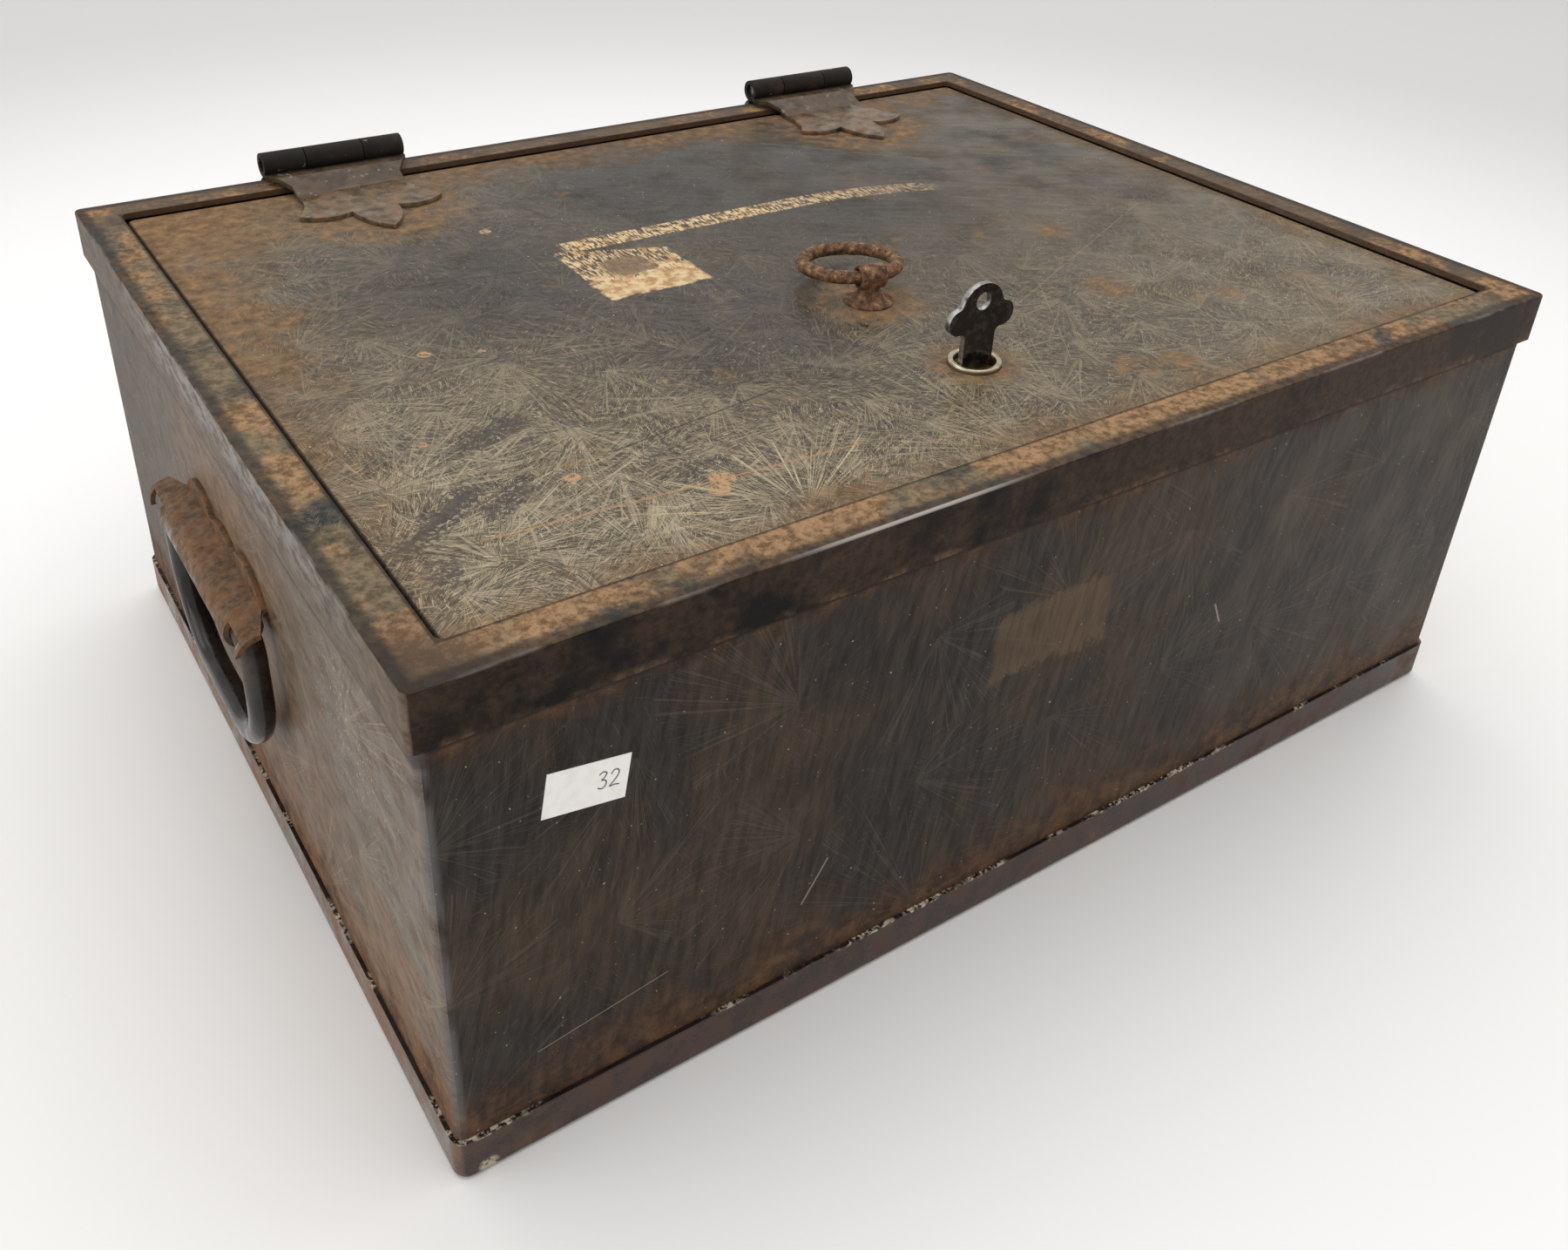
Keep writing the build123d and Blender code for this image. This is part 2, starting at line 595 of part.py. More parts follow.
def lock_cam():
    """The arm on the plug's tail, with the pin that drives the bolt."""
    hub = Circle(CAM_HUB_R)
    arm = make_hull(Circle(CAM_ARM_R).edges() + (Pos(CAM_PIN_ORBIT, 0) * Circle(CAM_ARM_R)).edges())
    profile = Pos(0, KEY_Y) * Rot(0, 0, KEY_TURN / 2) * (hub + arm)
    cam = outline_plate(profile, CAM_UNDER, CAM_TOP)
    cam += rod(CAM_PIN_X, CAM_PIN_Y, BOLT_UNDER + CAM_PIN_END_GAP, CAM_UNDER, CAM_PIN_R)
    half = TAIL_SQUARE / 2 + TAIL_GAP
    return cam - block(-half, half, KEY_Y - half, KEY_Y + half, CAM_UNDER - PAST, CAM_TOP + PAST)


def lock_bolt():
    """The sliding bolt: a nose bar and a wide tail with two guide slots and the cam's cross slot."""
    half = BOLT_WIDTH / 2
    tail_half = BOLT_TAIL_WIDTH / 2
    tail_front = KEY_Y - BOLT_TAIL_FRONT
    nose = block(-half, half, BOLT_NOSE_Y, tail_front, BOLT_UNDER, BOLT_TOP)
    nose = chamfer(nose.faces().sort_by(Axis.Y)[0].edges(), BOLT_NOSE_CHAMFER)
    bolt = nose + block(-tail_half, tail_half, tail_front, KEY_Y + BOLT_TAIL_BACK, BOLT_UNDER, BOLT_TOP)
    guide_half = PILLAR_R + BOLT_SLIDE_GAP
    below = BOLT_UNDER - PAST
    above = BOLT_TOP + PAST
    for x, y in PILLAR_PLACES[:2]:
        bolt -= rod(x, y, below, above, guide_half)
        bolt -= rod(x, y + BOLT_TRAVEL, below, above, guide_half)
        bolt -= block(x - guide_half, x + guide_half, y, y + BOLT_TRAVEL, below, above)
    pin_half = CAM_PIN_R + CAM_PIN_SLACK
    slot_left = CAM_PIN_X - CAM_PIN_R - CAM_PIN_END_GAP
    slot_right = CAM_PIN_ORBIT + CAM_PIN_R + CAM_PIN_END_GAP
    return bolt - block(slot_left, slot_right, CAM_PIN_Y - pin_half, CAM_PIN_Y + pin_half, below, above)


def case_plan(shrink):
    """The case's plan, drawn smaller all round by shrink."""
    middle = (CASE_FRONT_Y + CASE_BACK_Y) / 2
    depth = CASE_BACK_Y - CASE_FRONT_Y - 2 * shrink
    return Pos(0, middle) * RectangleRounded(CASE_WIDTH - 2 * shrink, depth, CASE_CORNER_R - shrink)


def lock_case():
    case = outline_plate(case_plan(0), COVER_TOP, LID_UNDER)
    case -= outline_plate(case_plan(CASE_THICK), COVER_TOP - PAST, CASE_BACK_UNDER)
    case -= rod(0, KEY_Y, CASE_BACK_UNDER - PAST, LID_UNDER + PAST, CYLINDER_R + CYLINDER_HOLE_GAP)
    window = BOLT_WIDTH / 2 + BOLT_SLIDE_GAP
    window_y = CASE_FRONT_Y + CASE_THICK + PAST
    window_top = BOLT_TOP + BOLT_SLIDE_GAP
    return case - block(-window, window, CASE_FRONT_Y - PAST, window_y, COVER_TOP - PAST, window_top)


def lock_pillars():
    """Four pillars in the case: the front pair guides the bolt, and all four take the cover's screws."""
    pillars = []
    for x, y in PILLAR_PLACES:
        pillar = rod(x, y, COVER_TOP, CASE_BACK_UNDER, PILLAR_R)
        pillars.append(pillar - rod(x, y, COVER_TOP - PAST, COVER_TOP + SCREW_LENGTH, PILLAR_BORE_R))
    return Compound(pillars)


def lock_cover():
    cover = outline_plate(case_plan(0), COVER_UNDER, COVER_TOP)
    for x, y in PILLAR_PLACES:
        cover -= rod(x, y, COVER_UNDER - PAST, COVER_TOP + PAST, SCREW_HOLE_R)
    return cover


def cover_screws():
    screws = []
    for x, y in PILLAR_PLACES:
        head_under = COVER_UNDER - SCREW_HEAD_THICK
        screw = rod(x, y, head_under, COVER_UNDER, SCREW_HEAD_R)
        screw += rod(x, y, COVER_UNDER, COVER_UNDER + SCREW_LENGTH, SCREW_R)
        half = SCREW_SLOT_WIDE / 2
        slot_top = head_under + SCREW_SLOT_DEEP
        slot = block(x - SCREW_HEAD_R, x + SCREW_HEAD_R, y - half, y + half, head_under, slot_top)
        screws.append(screw - slot)
    return Compound(screws)


# Key

def key_outline():
    """The whole key, drawn with (x, z): a three-lobed bow, a neck, and a blade with its cuts."""
    bow = Pos(0, LID_TOP + KEY_TOP - KEY_TOP_R) * Circle(KEY_TOP_R)
    for side in (-1, 1):
        bow += Pos(side * KEY_SIDE_X, LID_TOP + KEY_SIDE_Z) * Circle(KEY_SIDE_R)
    side_low = LID_TOP + KEY_SIDE_Z - KEY_SIDE_R
    bow += Pos(0, side_low + KEY_SIDE_R / 2) * Rectangle(2 * KEY_SIDE_X, KEY_SIDE_R)
    neck_top = LID_TOP + KEY_SIDE_Z
    bow += Pos(0, (KEY_SHOULDER + neck_top) / 2) * Rectangle(2 * KEY_NECK_HALF, neck_top - KEY_SHOULDER)
    # out and back by the same amount rounds only the inside corners
    bow = offset(offset(bow, KEY_BLEND_R), -KEY_BLEND_R)
    bow -= Pos(0, LID_TOP + KEY_TOP - KEY_HOLE_BELOW_TOP) * Circle(KEY_HOLE_R)
    blade = polygon(
        (-BLADE_HALF, KEY_SHOULDER),
        (-BLADE_HALF, BLADE_END + BLADE_TIP),
        (-BLADE_HALF + BLADE_TIP, BLADE_END),
        (BLADE_HALF - BLADE_TIP, BLADE_END),
        (BLADE_HALF, BLADE_END + BLADE_TIP),
        (BLADE_HALF, KEY_SHOULDER),
    )
    for level, depth in zip(wafer_levels(), BLADE_CUTS):
        blade -= polygon(
            (BLADE_HALF + BLADE_CUT_WIDE, level + 2 * BLADE_CUT_WIDE),
            (BLADE_HALF - depth, level + BLADE_CUT_WIDE / 2),
            (BLADE_HALF - depth, level - BLADE_CUT_WIDE / 2),
            (BLADE_HALF + BLADE_CUT_WIDE, level - 2 * BLADE_CUT_WIDE),
        )
    return bow + blade


def key():
    solid = extrude(Plane.XZ * key_outline(), amount=KEY_THICK / 2, both=True)
    return Pos(0, KEY_Y, 0) * solid


# Side handles, drawn for the right-hand side

def bail_path():
    """The bail's centre line, hanging: (y, z) from the bail's axis, with its ends butted inside the roll."""
    half_gap = BAIL_BUTT_GAP / 2
    corners = [
        (-half_gap, 0),
        (-BAIL_HALF, 0),
        (-BAIL_HALF, -BAIL_DROP),
        (BAIL_HALF, -BAIL_DROP),
        (BAIL_HALF, 0),
        (half_gap, 0),
    ]
    radii = [BAIL_TOP_BEND_R, BAIL_BOTTOM_BEND_R, BAIL_BOTTOM_BEND_R, BAIL_TOP_BEND_R]
    return FilletPolyline(*corners, radius=radii)


def handle_bail():
    axis_middle = (WALL_HALF_X + BAIL_AXIS_OUT, 0, BAIL_AXIS_HEIGHT)
    line = Plane(origin=axis_middle, x_dir=(0, 1, 0), z_dir=(1, 0, 0)) * bail_path()
    start = Plane(origin=line @ 0, z_dir=line % 0)
    return sweep(start * Circle(BAIL_ROD_R), path=line)


def plate_outline():
    """The plate from the side, drawn with (y, height over the bail's axis): three lobes along its top."""
    bottom = -ROLL_OUTER_R - PAST
    edges = [Line((-PLATE_HALF, bottom), (PLATE_HALF, bottom))]
    for side in (-1, 1):
        end_high = (side * PLATE_HALF, PLATE_LEAVES_WALL + HAIR)
        lobe_end = (side * PLATE_LOBE_END, PLATE_LEAVES_WALL + HAIR)
        lobe_top = (side * PLATE_LOBE_HALF, PLATE_LOBE_HIGH)
        cusp = (side * PLATE_CUSP_HALF, PLATE_CUSP_HIGH)
        edges.append(Line((side * PLATE_HALF, bottom), end_high))
        edges.append(Line(end_high, lobe_end))
        edges.append(ThreePointArc(lobe_end, lobe_top, cusp))
    left_cusp = (-PLATE_CUSP_HALF, PLATE_CUSP_HIGH)
    edges.append(ThreePointArc(left_cusp, (0, PLATE_CENTRE_HIGH), (PLATE_CUSP_HALF, PLATE_CUSP_HIGH)))
    return make_face(edges)


def roll_touch(radius, start_x, start_z):
    """The angle, round the roll's axis, where a line from a point on the plate's face meets the roll."""
    dx = start_x - BAIL_AXIS_OUT
    return math.atan2(start_z, dx) - math.acos(radius / math.hypot(dx, start_z))


def plate_section():
    """The plate's sheet, drawn with (distance from the wall, height over the bail's axis)."""
    touch = roll_touch(ROLL_OUTER_R, PLATE_THICK, PLATE_LEAVES_WALL)
    unit = (math.cos(touch), math.sin(touch))
    top = PLATE_LOBE_HIGH + PAST
    outer = (BAIL_AXIS_OUT + ROLL_OUTER_R * unit[0], ROLL_OUTER_R * unit[1])
    inner = (BAIL_AXIS_OUT + ROLL_INNER_R * unit[0], ROLL_INNER_R * unit[1])
    # the inner face of the slope, parallel to the outer one, meets the wall below where the sheet leaves it
    slope = -unit[0] / unit[1]
    wall_z = inner[1] - slope * inner[0]
    leaving = (PLATE_THICK, PLATE_LEAVES_WALL)
    sheet = polygon((0, top), (PLATE_THICK, top), leaving, outer, inner, (0, wall_z))
    roll = Pos(BAIL_AXIS_OUT, 0) * (Circle(ROLL_OUTER_R) - Circle(ROLL_INNER_R))
    far = 3 * ROLL_OUTER_R
    tail = math.radians(ROLL_TAIL_ANGLE)
    open_side = polygon(
        (BAIL_AXIS_OUT, 0),
        (BAIL_AXIS_OUT + far * unit[0], far * unit[1]),
        (BAIL_AXIS_OUT + far * math.cos((touch + tail) / 2), far * math.sin((touch + tail) / 2)),
        (BAIL_AXIS_OUT + far * math.cos(tail), far * math.sin(tail)),
    )
    return sheet + (roll - open_side)


def end_trim(side):
    """What is cut from one end of the plate, to slant its back edge off the wall and point its tab."""
    notch_end = BAIL_HALF + BAIL_ROD_R + NOTCH_GAP
    past_end = PLATE_HALF + PAST
    low = BAIL_AXIS_HEIGHT - ROLL_OUTER_R - PAST
    slant = polygon(
        (WALL_HALF_X - PAST, side * PLATE_LOBE_END),
        (WALL_HALF_X + PLATE_THICK, side * PLATE_LOBE_END),
        (WALL_HALF_X + PLATE_END_OFF_WALL, side * PLATE_HALF),
        (WALL_HALF_X + PLATE_END_OFF_WALL, side * past_end),
        (WALL_HALF_X - PAST, side * past_end),
    )
    trim = outline_plate(slant, BAIL_AXIS_HEIGHT + PLATE_END_FROM, BAIL_AXIS_HEIGHT + PLATE_LOBE_HIGH + PAST)
    inner_x = WALL_HALF_X + BAIL_AXIS_OUT
    inner_top = BAIL_AXIS_HEIGHT + BAIL_ROD_R + NOTCH_GAP
    trim += block(WALL_HALF_X - PAST, inner_x, side * notch_end, side * past_end, low, inner_top)
    tip = BAIL_AXIS_HEIGHT - TAB_TIP_BELOW_AXIS
    under_tab = polygon(
        (side * notch_end, low),
        (side * notch_end, tip),
        (side * PLATE_HALF, tip + TAB_EDGE_RISE),
        (side * past_end, tip + TAB_EDGE_RISE),
        (side * past_end, low),
    )
    return trim + along_x(under_tab, inner_x - HAIR, inner_x + ROLL_OUTER_R + PAST)


def handle_plate():
    plane = Plane(origin=(WALL_HALF_X, PLATE_HALF, BAIL_AXIS_HEIGHT), x_dir=(1, 0, 0), z_dir=(0, -1, 0))
    plate = extrude(plane * plate_section(), amount=2 * PLATE_HALF)
    wall_middle = (WALL_HALF_X - PAST, 0, BAIL_AXIS_HEIGHT)
    side_plane = Plane(origin=wall_middle, x_dir=(0, 1, 0), z_dir=(1, 0, 0))
    plate &= extrude(side_plane * plate_outline(), amount=BAIL_AXIS_OUT + ROLL_OUTER_R + 2 * PAST)
    notch_top = BAIL_AXIS_HEIGHT + BAIL_ROD_R + NOTCH_GAP
    notch_end = BAIL_HALF + BAIL_ROD_R + NOTCH_GAP
    below = BAIL_AXIS_HEIGHT - ROLL_OUTER_R - PAST
    out = WALL_HALF_X + BAIL_AXIS_OUT + ROLL_OUTER_R + PAST
    for side in (-1, 1):
        plate -= block(WALL_HALF_X - PAST, out, side * ROLL_HALF, side * notch_end, below, notch_top)
        plate -= end_trim(side)
    return plate


# Writing the parts

def left_and_right(solid):
    """The solid and its mirror image on the left-hand side."""
    return {"left": mirror(solid, about=Plane.YZ), "right": solid}


def build():
    """Every sub-part, by node name."""
    nodes = {
        "base_pan": base_pan(),
        "body_wrap": body_wrap(),
        "body_seam_strip": body_seam_strip(),
        "bolt_keeper": bolt_keeper(),
        "paper_label": paper_label(),
        "lid_pan": lid_pan(),
        "ring_stud": ring_stud(),
        "stud_washer": stud_washer(),
        "pull_ring": pull_ring(),
        "keyhole_collar": keyhole_collar(),
        "lock_cylinder": lock_cylinder(),
        "lock_plug": lock_plug(),
        "lock_wafers": lock_wafers(),
        "lock_cam": lock_cam(),
        "lock_bolt": lock_bolt(),
        "lock_case": lock_case(),
        "lock_pillars": lock_pillars(),
        "lock_cover": lock_cover(),
        "cover_screws": cover_screws(),
        "key": key(),
    }
    for side, bar in frame_bars().items():
        nodes["frame_bar_" + side] = bar
    for side, bar in ledge_bars().items():
        nodes["lid_ledge_" + side] = bar
    hinge_parts = {"hinge_rear_leaf": rear_leaf(), "hinge_lid_leaf": lid_leaf(), "hinge_pin": hinge_pin()}
    for name, solid in hinge_parts.items():
        nodes[name + "_left"] = Pos(-HINGE_X, 0, 0) * solid
        nodes[name + "_right"] = Pos(HINGE_X, 0, 0) * solid
    for name, solid in (("handle_plate", handle_plate()), ("handle_bail", handle_bail())):
        for side, part in left_and_right(solid).items():
            nodes[name + "_" + side] = part
    return nodes


os.makedirs("parts", exist_ok=True)
for node, shape in build().items():
    export_step(shape, "parts/" + node + ".step")
print("bolt travel", round(BOLT_TRAVEL, 3), "hinge axis", round(HINGE_Y, 3), round(HINGE_Z, 3))
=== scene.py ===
import math

import bmesh
import bpy
from mathutils import Matrix, Vector, noise


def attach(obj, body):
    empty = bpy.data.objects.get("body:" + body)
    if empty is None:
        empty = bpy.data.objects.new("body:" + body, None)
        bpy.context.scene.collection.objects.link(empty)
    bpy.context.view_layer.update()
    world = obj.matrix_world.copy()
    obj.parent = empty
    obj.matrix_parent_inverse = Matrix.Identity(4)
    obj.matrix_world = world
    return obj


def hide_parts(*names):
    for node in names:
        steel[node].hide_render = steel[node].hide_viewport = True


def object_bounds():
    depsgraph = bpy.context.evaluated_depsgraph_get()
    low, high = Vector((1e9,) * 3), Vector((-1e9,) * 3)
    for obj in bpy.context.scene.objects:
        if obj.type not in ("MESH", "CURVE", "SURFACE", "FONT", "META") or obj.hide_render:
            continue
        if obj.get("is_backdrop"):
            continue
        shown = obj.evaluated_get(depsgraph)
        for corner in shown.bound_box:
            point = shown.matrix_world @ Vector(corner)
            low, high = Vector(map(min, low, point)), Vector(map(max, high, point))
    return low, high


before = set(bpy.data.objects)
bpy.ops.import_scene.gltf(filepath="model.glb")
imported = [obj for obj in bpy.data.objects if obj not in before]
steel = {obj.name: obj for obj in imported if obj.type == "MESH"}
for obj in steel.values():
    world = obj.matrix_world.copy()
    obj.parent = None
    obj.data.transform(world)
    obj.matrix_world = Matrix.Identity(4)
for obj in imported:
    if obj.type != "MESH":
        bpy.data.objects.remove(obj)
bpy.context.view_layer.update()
MM = 0.001


# The body: one sheet of steel folded round the four sides, under old black paint.
# The paint has dried in fine frost-like needles, and rust shows through it
# under the frame and along the foot. The upright corners are lighter, partly rubbed and partly a painted
# highlight.

class Finish:
    """One finish of the box: a material, with short calls for what it is mixed from. Lengths are in mm."""

    def __init__(self, name, roughness=0.5, metallic=0.0, specular=0.5):
        self.material = bpy.data.materials.new(name)
        self.material.use_nodes = True
        self.tree = self.material.node_tree
        self.shader = self.tree.nodes["Principled BSDF"]
        self.shader.inputs["Roughness"].default_value = roughness
        self.shader.inputs["Metallic"].default_value = metallic
        self.shader.inputs["Specular IOR Level"].default_value = specular
        where = self.tree.nodes.new("ShaderNodeTexCoord")
        self.place = self.vector("SCALE", where.outputs["Object"], scale=1 / MM)
        self.x, self.y, self.z = self.split(self.place)
        normal = self.split(where.outputs["Normal"])
        self.facing = [self.maths("ABSOLUTE", part) for part in normal]
        self.upward = normal[2]

    def node(self, kind, inputs, **settings):
        made = self.tree.nodes.new(kind)
        for name, value in settings.items():
            setattr(made, name, value)
        for name, value in inputs.items():
            if isinstance(value, bpy.types.NodeSocket):
                self.tree.links.new(value, made.inputs[name])
            else:
                made.inputs[name].default_value = value
        return made

    def maths(self, operation, *values):
        return self.node("ShaderNodeMath", dict(enumerate(values)), operation=operation).outputs[0]

    def vector(self, operation, *values, scale=None):
        inputs = dict(enumerate(values))
        if scale is not None:
            inputs["Scale"] = scale
        return self.node("ShaderNodeVectorMath", inputs, operation=operation).outputs[0]

    def measure(self, operation, *values):
        """A number from one vector or two, such as a length."""
        inputs = dict(enumerate(values))
        return self.node("ShaderNodeVectorMath", inputs, operation=operation).outputs["Value"]

    def rotated(self, vector, angle):
        """The vector turned about Z. The angle is in radians."""
        inputs = {"Vector": vector, "Angle": angle}
        return self.node("ShaderNodeVectorRotate", inputs, rotation_type="Z_AXIS").outputs[0]

    def split(self, vector):
        return self.node("ShaderNodeSeparateXYZ", {0: vector}).outputs[:3]

    def joined(self, x, y, z=0.0):
        return self.node("ShaderNodeCombineXYZ", {0: x, 1: y, 2: z}).outputs[0]

    def rise(self, value, low, high, top=1.0):
        """0 at low, top at high, smooth between; high may be the smaller number."""
        inputs = {"Value": value, "From Min": low, "From Max": high, "To Max": top}
        return self.node("ShaderNodeMapRange", inputs, interpolation_type="SMOOTHSTEP").outputs[0]

    def cloud(self, vector, size, detail=3.0, rough=0.5):
        """Soft noise from 0 to 1, in lumps of about that size."""
        inputs = {"Vector": vector, "Scale": 1 / size, "Detail": detail, "Roughness": rough}
        return self.node("ShaderNodeTexNoise", inputs).outputs[0]

    def patches(self, vector, size, low, high, detail=4.0, rough=0.6):
        """The lumps of a cloud: 0 where it is at low, 1 where it is at high."""
        return self.rise(self.cloud(vector, size, detail, rough), low, high)

    def shifted(self, value, by, much):
        """The value plus that much of another, such as an edge made ragged by a cloud."""
        return self.maths("MULTIPLY_ADD", by, much, value)

    def less(self, value, other):
        return self.maths("SUBTRACT", value, other)

    def times(self, *values):
        made = values[0]
        for value in values[1:]:
            made = self.maths("MULTIPLY", made, value)
        return made

    def any_of(self, values):
        """The largest of values that are made one by one, so that few are held at a time."""
        made = None
        for value in values:
            made = value if made is None else self.maths("MAXIMUM", made, value)
        return made

    def either(self, *values):
        return self.any_of(values)

    def mix(self, share, under, over):
        """The colour under, covered by the colour over where share is 1."""
        inputs = {0: share, 6: solid(under), 7: solid(over)}
        return self.node("ShaderNodeMix", inputs, data_type="RGBA").outputs[2]

    def blend(self, share, under, over):
        """The number under, changed to the number over where share is 1."""
        return self.node("ShaderNodeMix", {0: share, 2: under, 3: over}, data_type="FLOAT").outputs[0]

    def skin(self):
        """Flat coordinates on each side of the box: across and up it, or across and back on the top."""
        side = self.maths("GREATER_THAN", self.facing[0], 0.6)
        top = self.maths("GREATER_THAN", self.facing[2], 0.6)
        return self.joined(self.blend(side, self.x, self.y), self.blend(top, self.z, self.y))

    def swept(self, skin, angle, long):
        """The skin drawn out along one slant, so that a cloud on it looks brushed."""
        return self.vector("MULTIPLY", self.rotated(skin, math.radians(angle)), (1.0, 1 / long, 1.0))

    def length(self, vector):
        return self.measure("LENGTH", vector)

    def spot(self, skin, centre, radius, soft=0.5):
        """A round patch, full out to the soft share of its radius."""
        return self.rise(self.measure("DISTANCE", skin, (*centre, 0.0)), radius, radius * soft)

    def score(self, skin, start, end, wide):
        """A scratch: a thin line from start to end."""
        run = (end[0] - start[0], end[1] - start[1], 0.0)
        local = self.vector("SUBTRACT", skin, (*start, 0.0))
        dot = self.measure("DOT_PRODUCT", local, run)
        span = run[0] ** 2 + run[1] ** 2
        share = self.node("ShaderNodeMapRange", {"Value": dot, "From Max": span}).outputs[0]
        off = self.vector("SUBTRACT", local, self.vector("SCALE", run, scale=share))
        return self.rise(self.length(off), wide, 0.4 * wide)

    def cells(self, skin, size, seed):
        """Cells of about that size: the way from the middle of each, and a chance colour for it."""
        moved = self.vector("ADD", skin, (seed, 1.7 * seed, 0.0))
        inputs = {"Vector": moved, "Scale": 1 / size}
        found = self.node("ShaderNodeTexVoronoi", inputs, voronoi_dimensions="2D")
        return self.vector("SUBTRACT", moved, found.outputs["Position"]), found.outputs["Color"]

    def strokes(self, skin, size, seed, wide, long, low=0.56, high=0.7):
        """Short straight needles, laid one way in each cell."""
        local, chance = self.cells(skin, size, seed)
        angle = self.times(self.split(chance)[0], 2 * math.pi)
        drawn = self.vector("MULTIPLY", self.rotated(local, angle), (1 / wide, 1 / long, 0.0))
        return self.rise(self.cloud(drawn, 1.0, 2.0, 0.55), low, high)

    def rays(self, ray, seed, size, count, wide):
        """Straight lines about that wide, all from the point where ray is nought, with breaks in them."""
        reach = self.length(ray)
        heading = self.vector("NORMALIZE", ray)
        spread = (count, count, 0.0)
        drift = self.joined(0.0, 0.0, self.shifted(seed, reach, 0.3 / size))
        turn = self.vector("MULTIPLY_ADD", heading, spread, drift)
        off = self.maths("ABSOLUTE", self.less(self.cloud(turn, 1.0, 2.0, 0.6), 0.5))
        lines = self.rise(self.times(off, reach), 0.5 * wide * count, 0.15 * wide * count)
        along = self.joined(7.0, 0.0, self.maths("DIVIDE", reach, 22.0))
        parts = self.cloud(self.vector("MULTIPLY_ADD", heading, spread, along), 1.0, 1.0)
        return self.times(lines, self.rise(parts, 0.36, 0.48))

    def fan(self, skin, centre, angle, spread, size, count=16.0, wide=0.1):
        """One fan of needles from a centre, opening by the spread on each side of the angle. In degrees."""
        ray = self.vector("SUBTRACT", skin, (*centre, 0.0))
        lines = self.rays(ray, centre[0], size, count, wide)
        aim = (math.cos(math.radians(angle)), math.sin(math.radians(angle)), 0.0)
        toward = self.measure("DOT_PRODUCT", self.vector("NORMALIZE", ray), aim)
        edge = math.radians(spread)
        within = self.rise(toward, math.cos(edge + 0.3), math.cos(edge - 0.2))
        reach = self.length(ray)
        return self.times(lines, within, self.rise(reach, size, 0.45 * size), self.rise(reach, 2.0, 14.0))

    def fans(self, skin, size, seed, count=10.0, wide=0.11):
        """Small fans of needles, one in each cell, each open to one side."""
        local, chance = self.cells(skin, size, seed)
        throw = self.vector("SUBTRACT", chance, (0.5, 0.5, 0.5))
        ray = self.vector("MULTIPLY_ADD", throw, (1.2 * size, 1.2 * size, 0.0), local)
        lines = self.rays(ray, self.times(self.split(chance)[2], 40.0), size, count, wide)
        aim = self.vector("NORMALIZE", self.vector("MULTIPLY", throw, (1.0, 1.0, 0.0)))
        toward = self.measure("DOT_PRODUCT", self.vector("NORMALIZE", ray), aim)
        return self.times(lines, self.rise(toward, -0.1, 0.6))

    def bump(self, height, deep):
        """A relief of that depth in mm."""
        made = self.node("ShaderNodeBump", {"Height": height, "Strength": 1.0, "Distance": deep * MM})
        self.tree.links.new(made.outputs[0], self.shader.inputs["Normal"])

    def done(self, colour, roughness=None):
        self.tree.links.new(colour, self.shader.inputs["Base Color"])
        if roughness is not None:
            self.tree.links.new(roughness, self.shader.inputs["Roughness"])
        return self.material


def solid(colour):
    return colour if isinstance(colour, bpy.types.NodeSocket) else (*colour, 1.0)


def dress(material, *names):
    for name in names:
        held = steel[name].data.materials
        held.clear()
        held.append(material)


# Where one name has two colours, they are the dark and the pale grain of one paint or metal.
RUST_DARK, RUST, RUST_PALE = (0.045, 0.020, 0.011), (0.170, 0.078, 0.032), (0.420, 0.215, 0.095)
PLAIN_GREY = (0.060, 0.058, 0.056), (0.095, 0.088, 0.080)


def rust_colour(finish, pale=1.0):
    grain = finish.cloud(finish.place, 6.0, 5.0, 0.65)
    speck = finish.cloud(finish.place, 0.8, 2.0, 0.5)
    made = finish.mix(finish.rise(grain, 0.34, 0.64), RUST_DARK, RUST)
    light = finish.times(finish.rise(grain, 0.48, 0.74, pale), finish.rise(speck, 0.4, 0.65))
    return finish.mix(light, made, RUST_PALE)


def plain_paint(finish):
    """The dull grey of the inside, with a few rusty stains."""
    grey = finish.mix(finish.patches(finish.place, 22.0, 0.35, 0.7), *PLAIN_GREY)
    stained = finish.times(finish.patches(finish.place, 14.0, 0.56, 0.72), 0.7)
    return finish.mix(stained, grey, rust_colour(finish))


# Places on the front are given as (x, z), and on the side walls as (y, z).
WALL_X, WALL_Y, WALL_THICK = 201.2, 153.5, 1.6
STAIN_X, STAIN_Z = (-33.0, 12.0), (95.0, 119.0)
BEHIND_PLATE, FLAKED_AT = (0.0, 100.0), (-104.0, 112.0)
SCRATCHES = [
    ((-88.6, 53.8), (-96.7, 40.3), 0.35),
    ((-178.0, 34.0), (-140.0, 40.0), 0.18),
    ((62.0, 84.0), (66.0, 76.0), 0.5),
]
BLACK_PAINT = (0.009, 0.006, 0.005), (0.036, 0.030, 0.025)
UMBER_PAINT = (0.024, 0.015, 0.009), (0.064, 0.040, 0.023)
SIDE_TAN = (0.078, 0.056, 0.036), (0.190, 0.146, 0.104)
SIDE_BROWN = (0.080, 0.040, 0.020), (0.180, 0.104, 0.056)
SIDE_RED = (0.110, 0.052, 0.022), (0.330, 0.185, 0.096)
SIDE_SHADE = (0.026, 0.017, 0.010), (0.072, 0.045, 0.026)

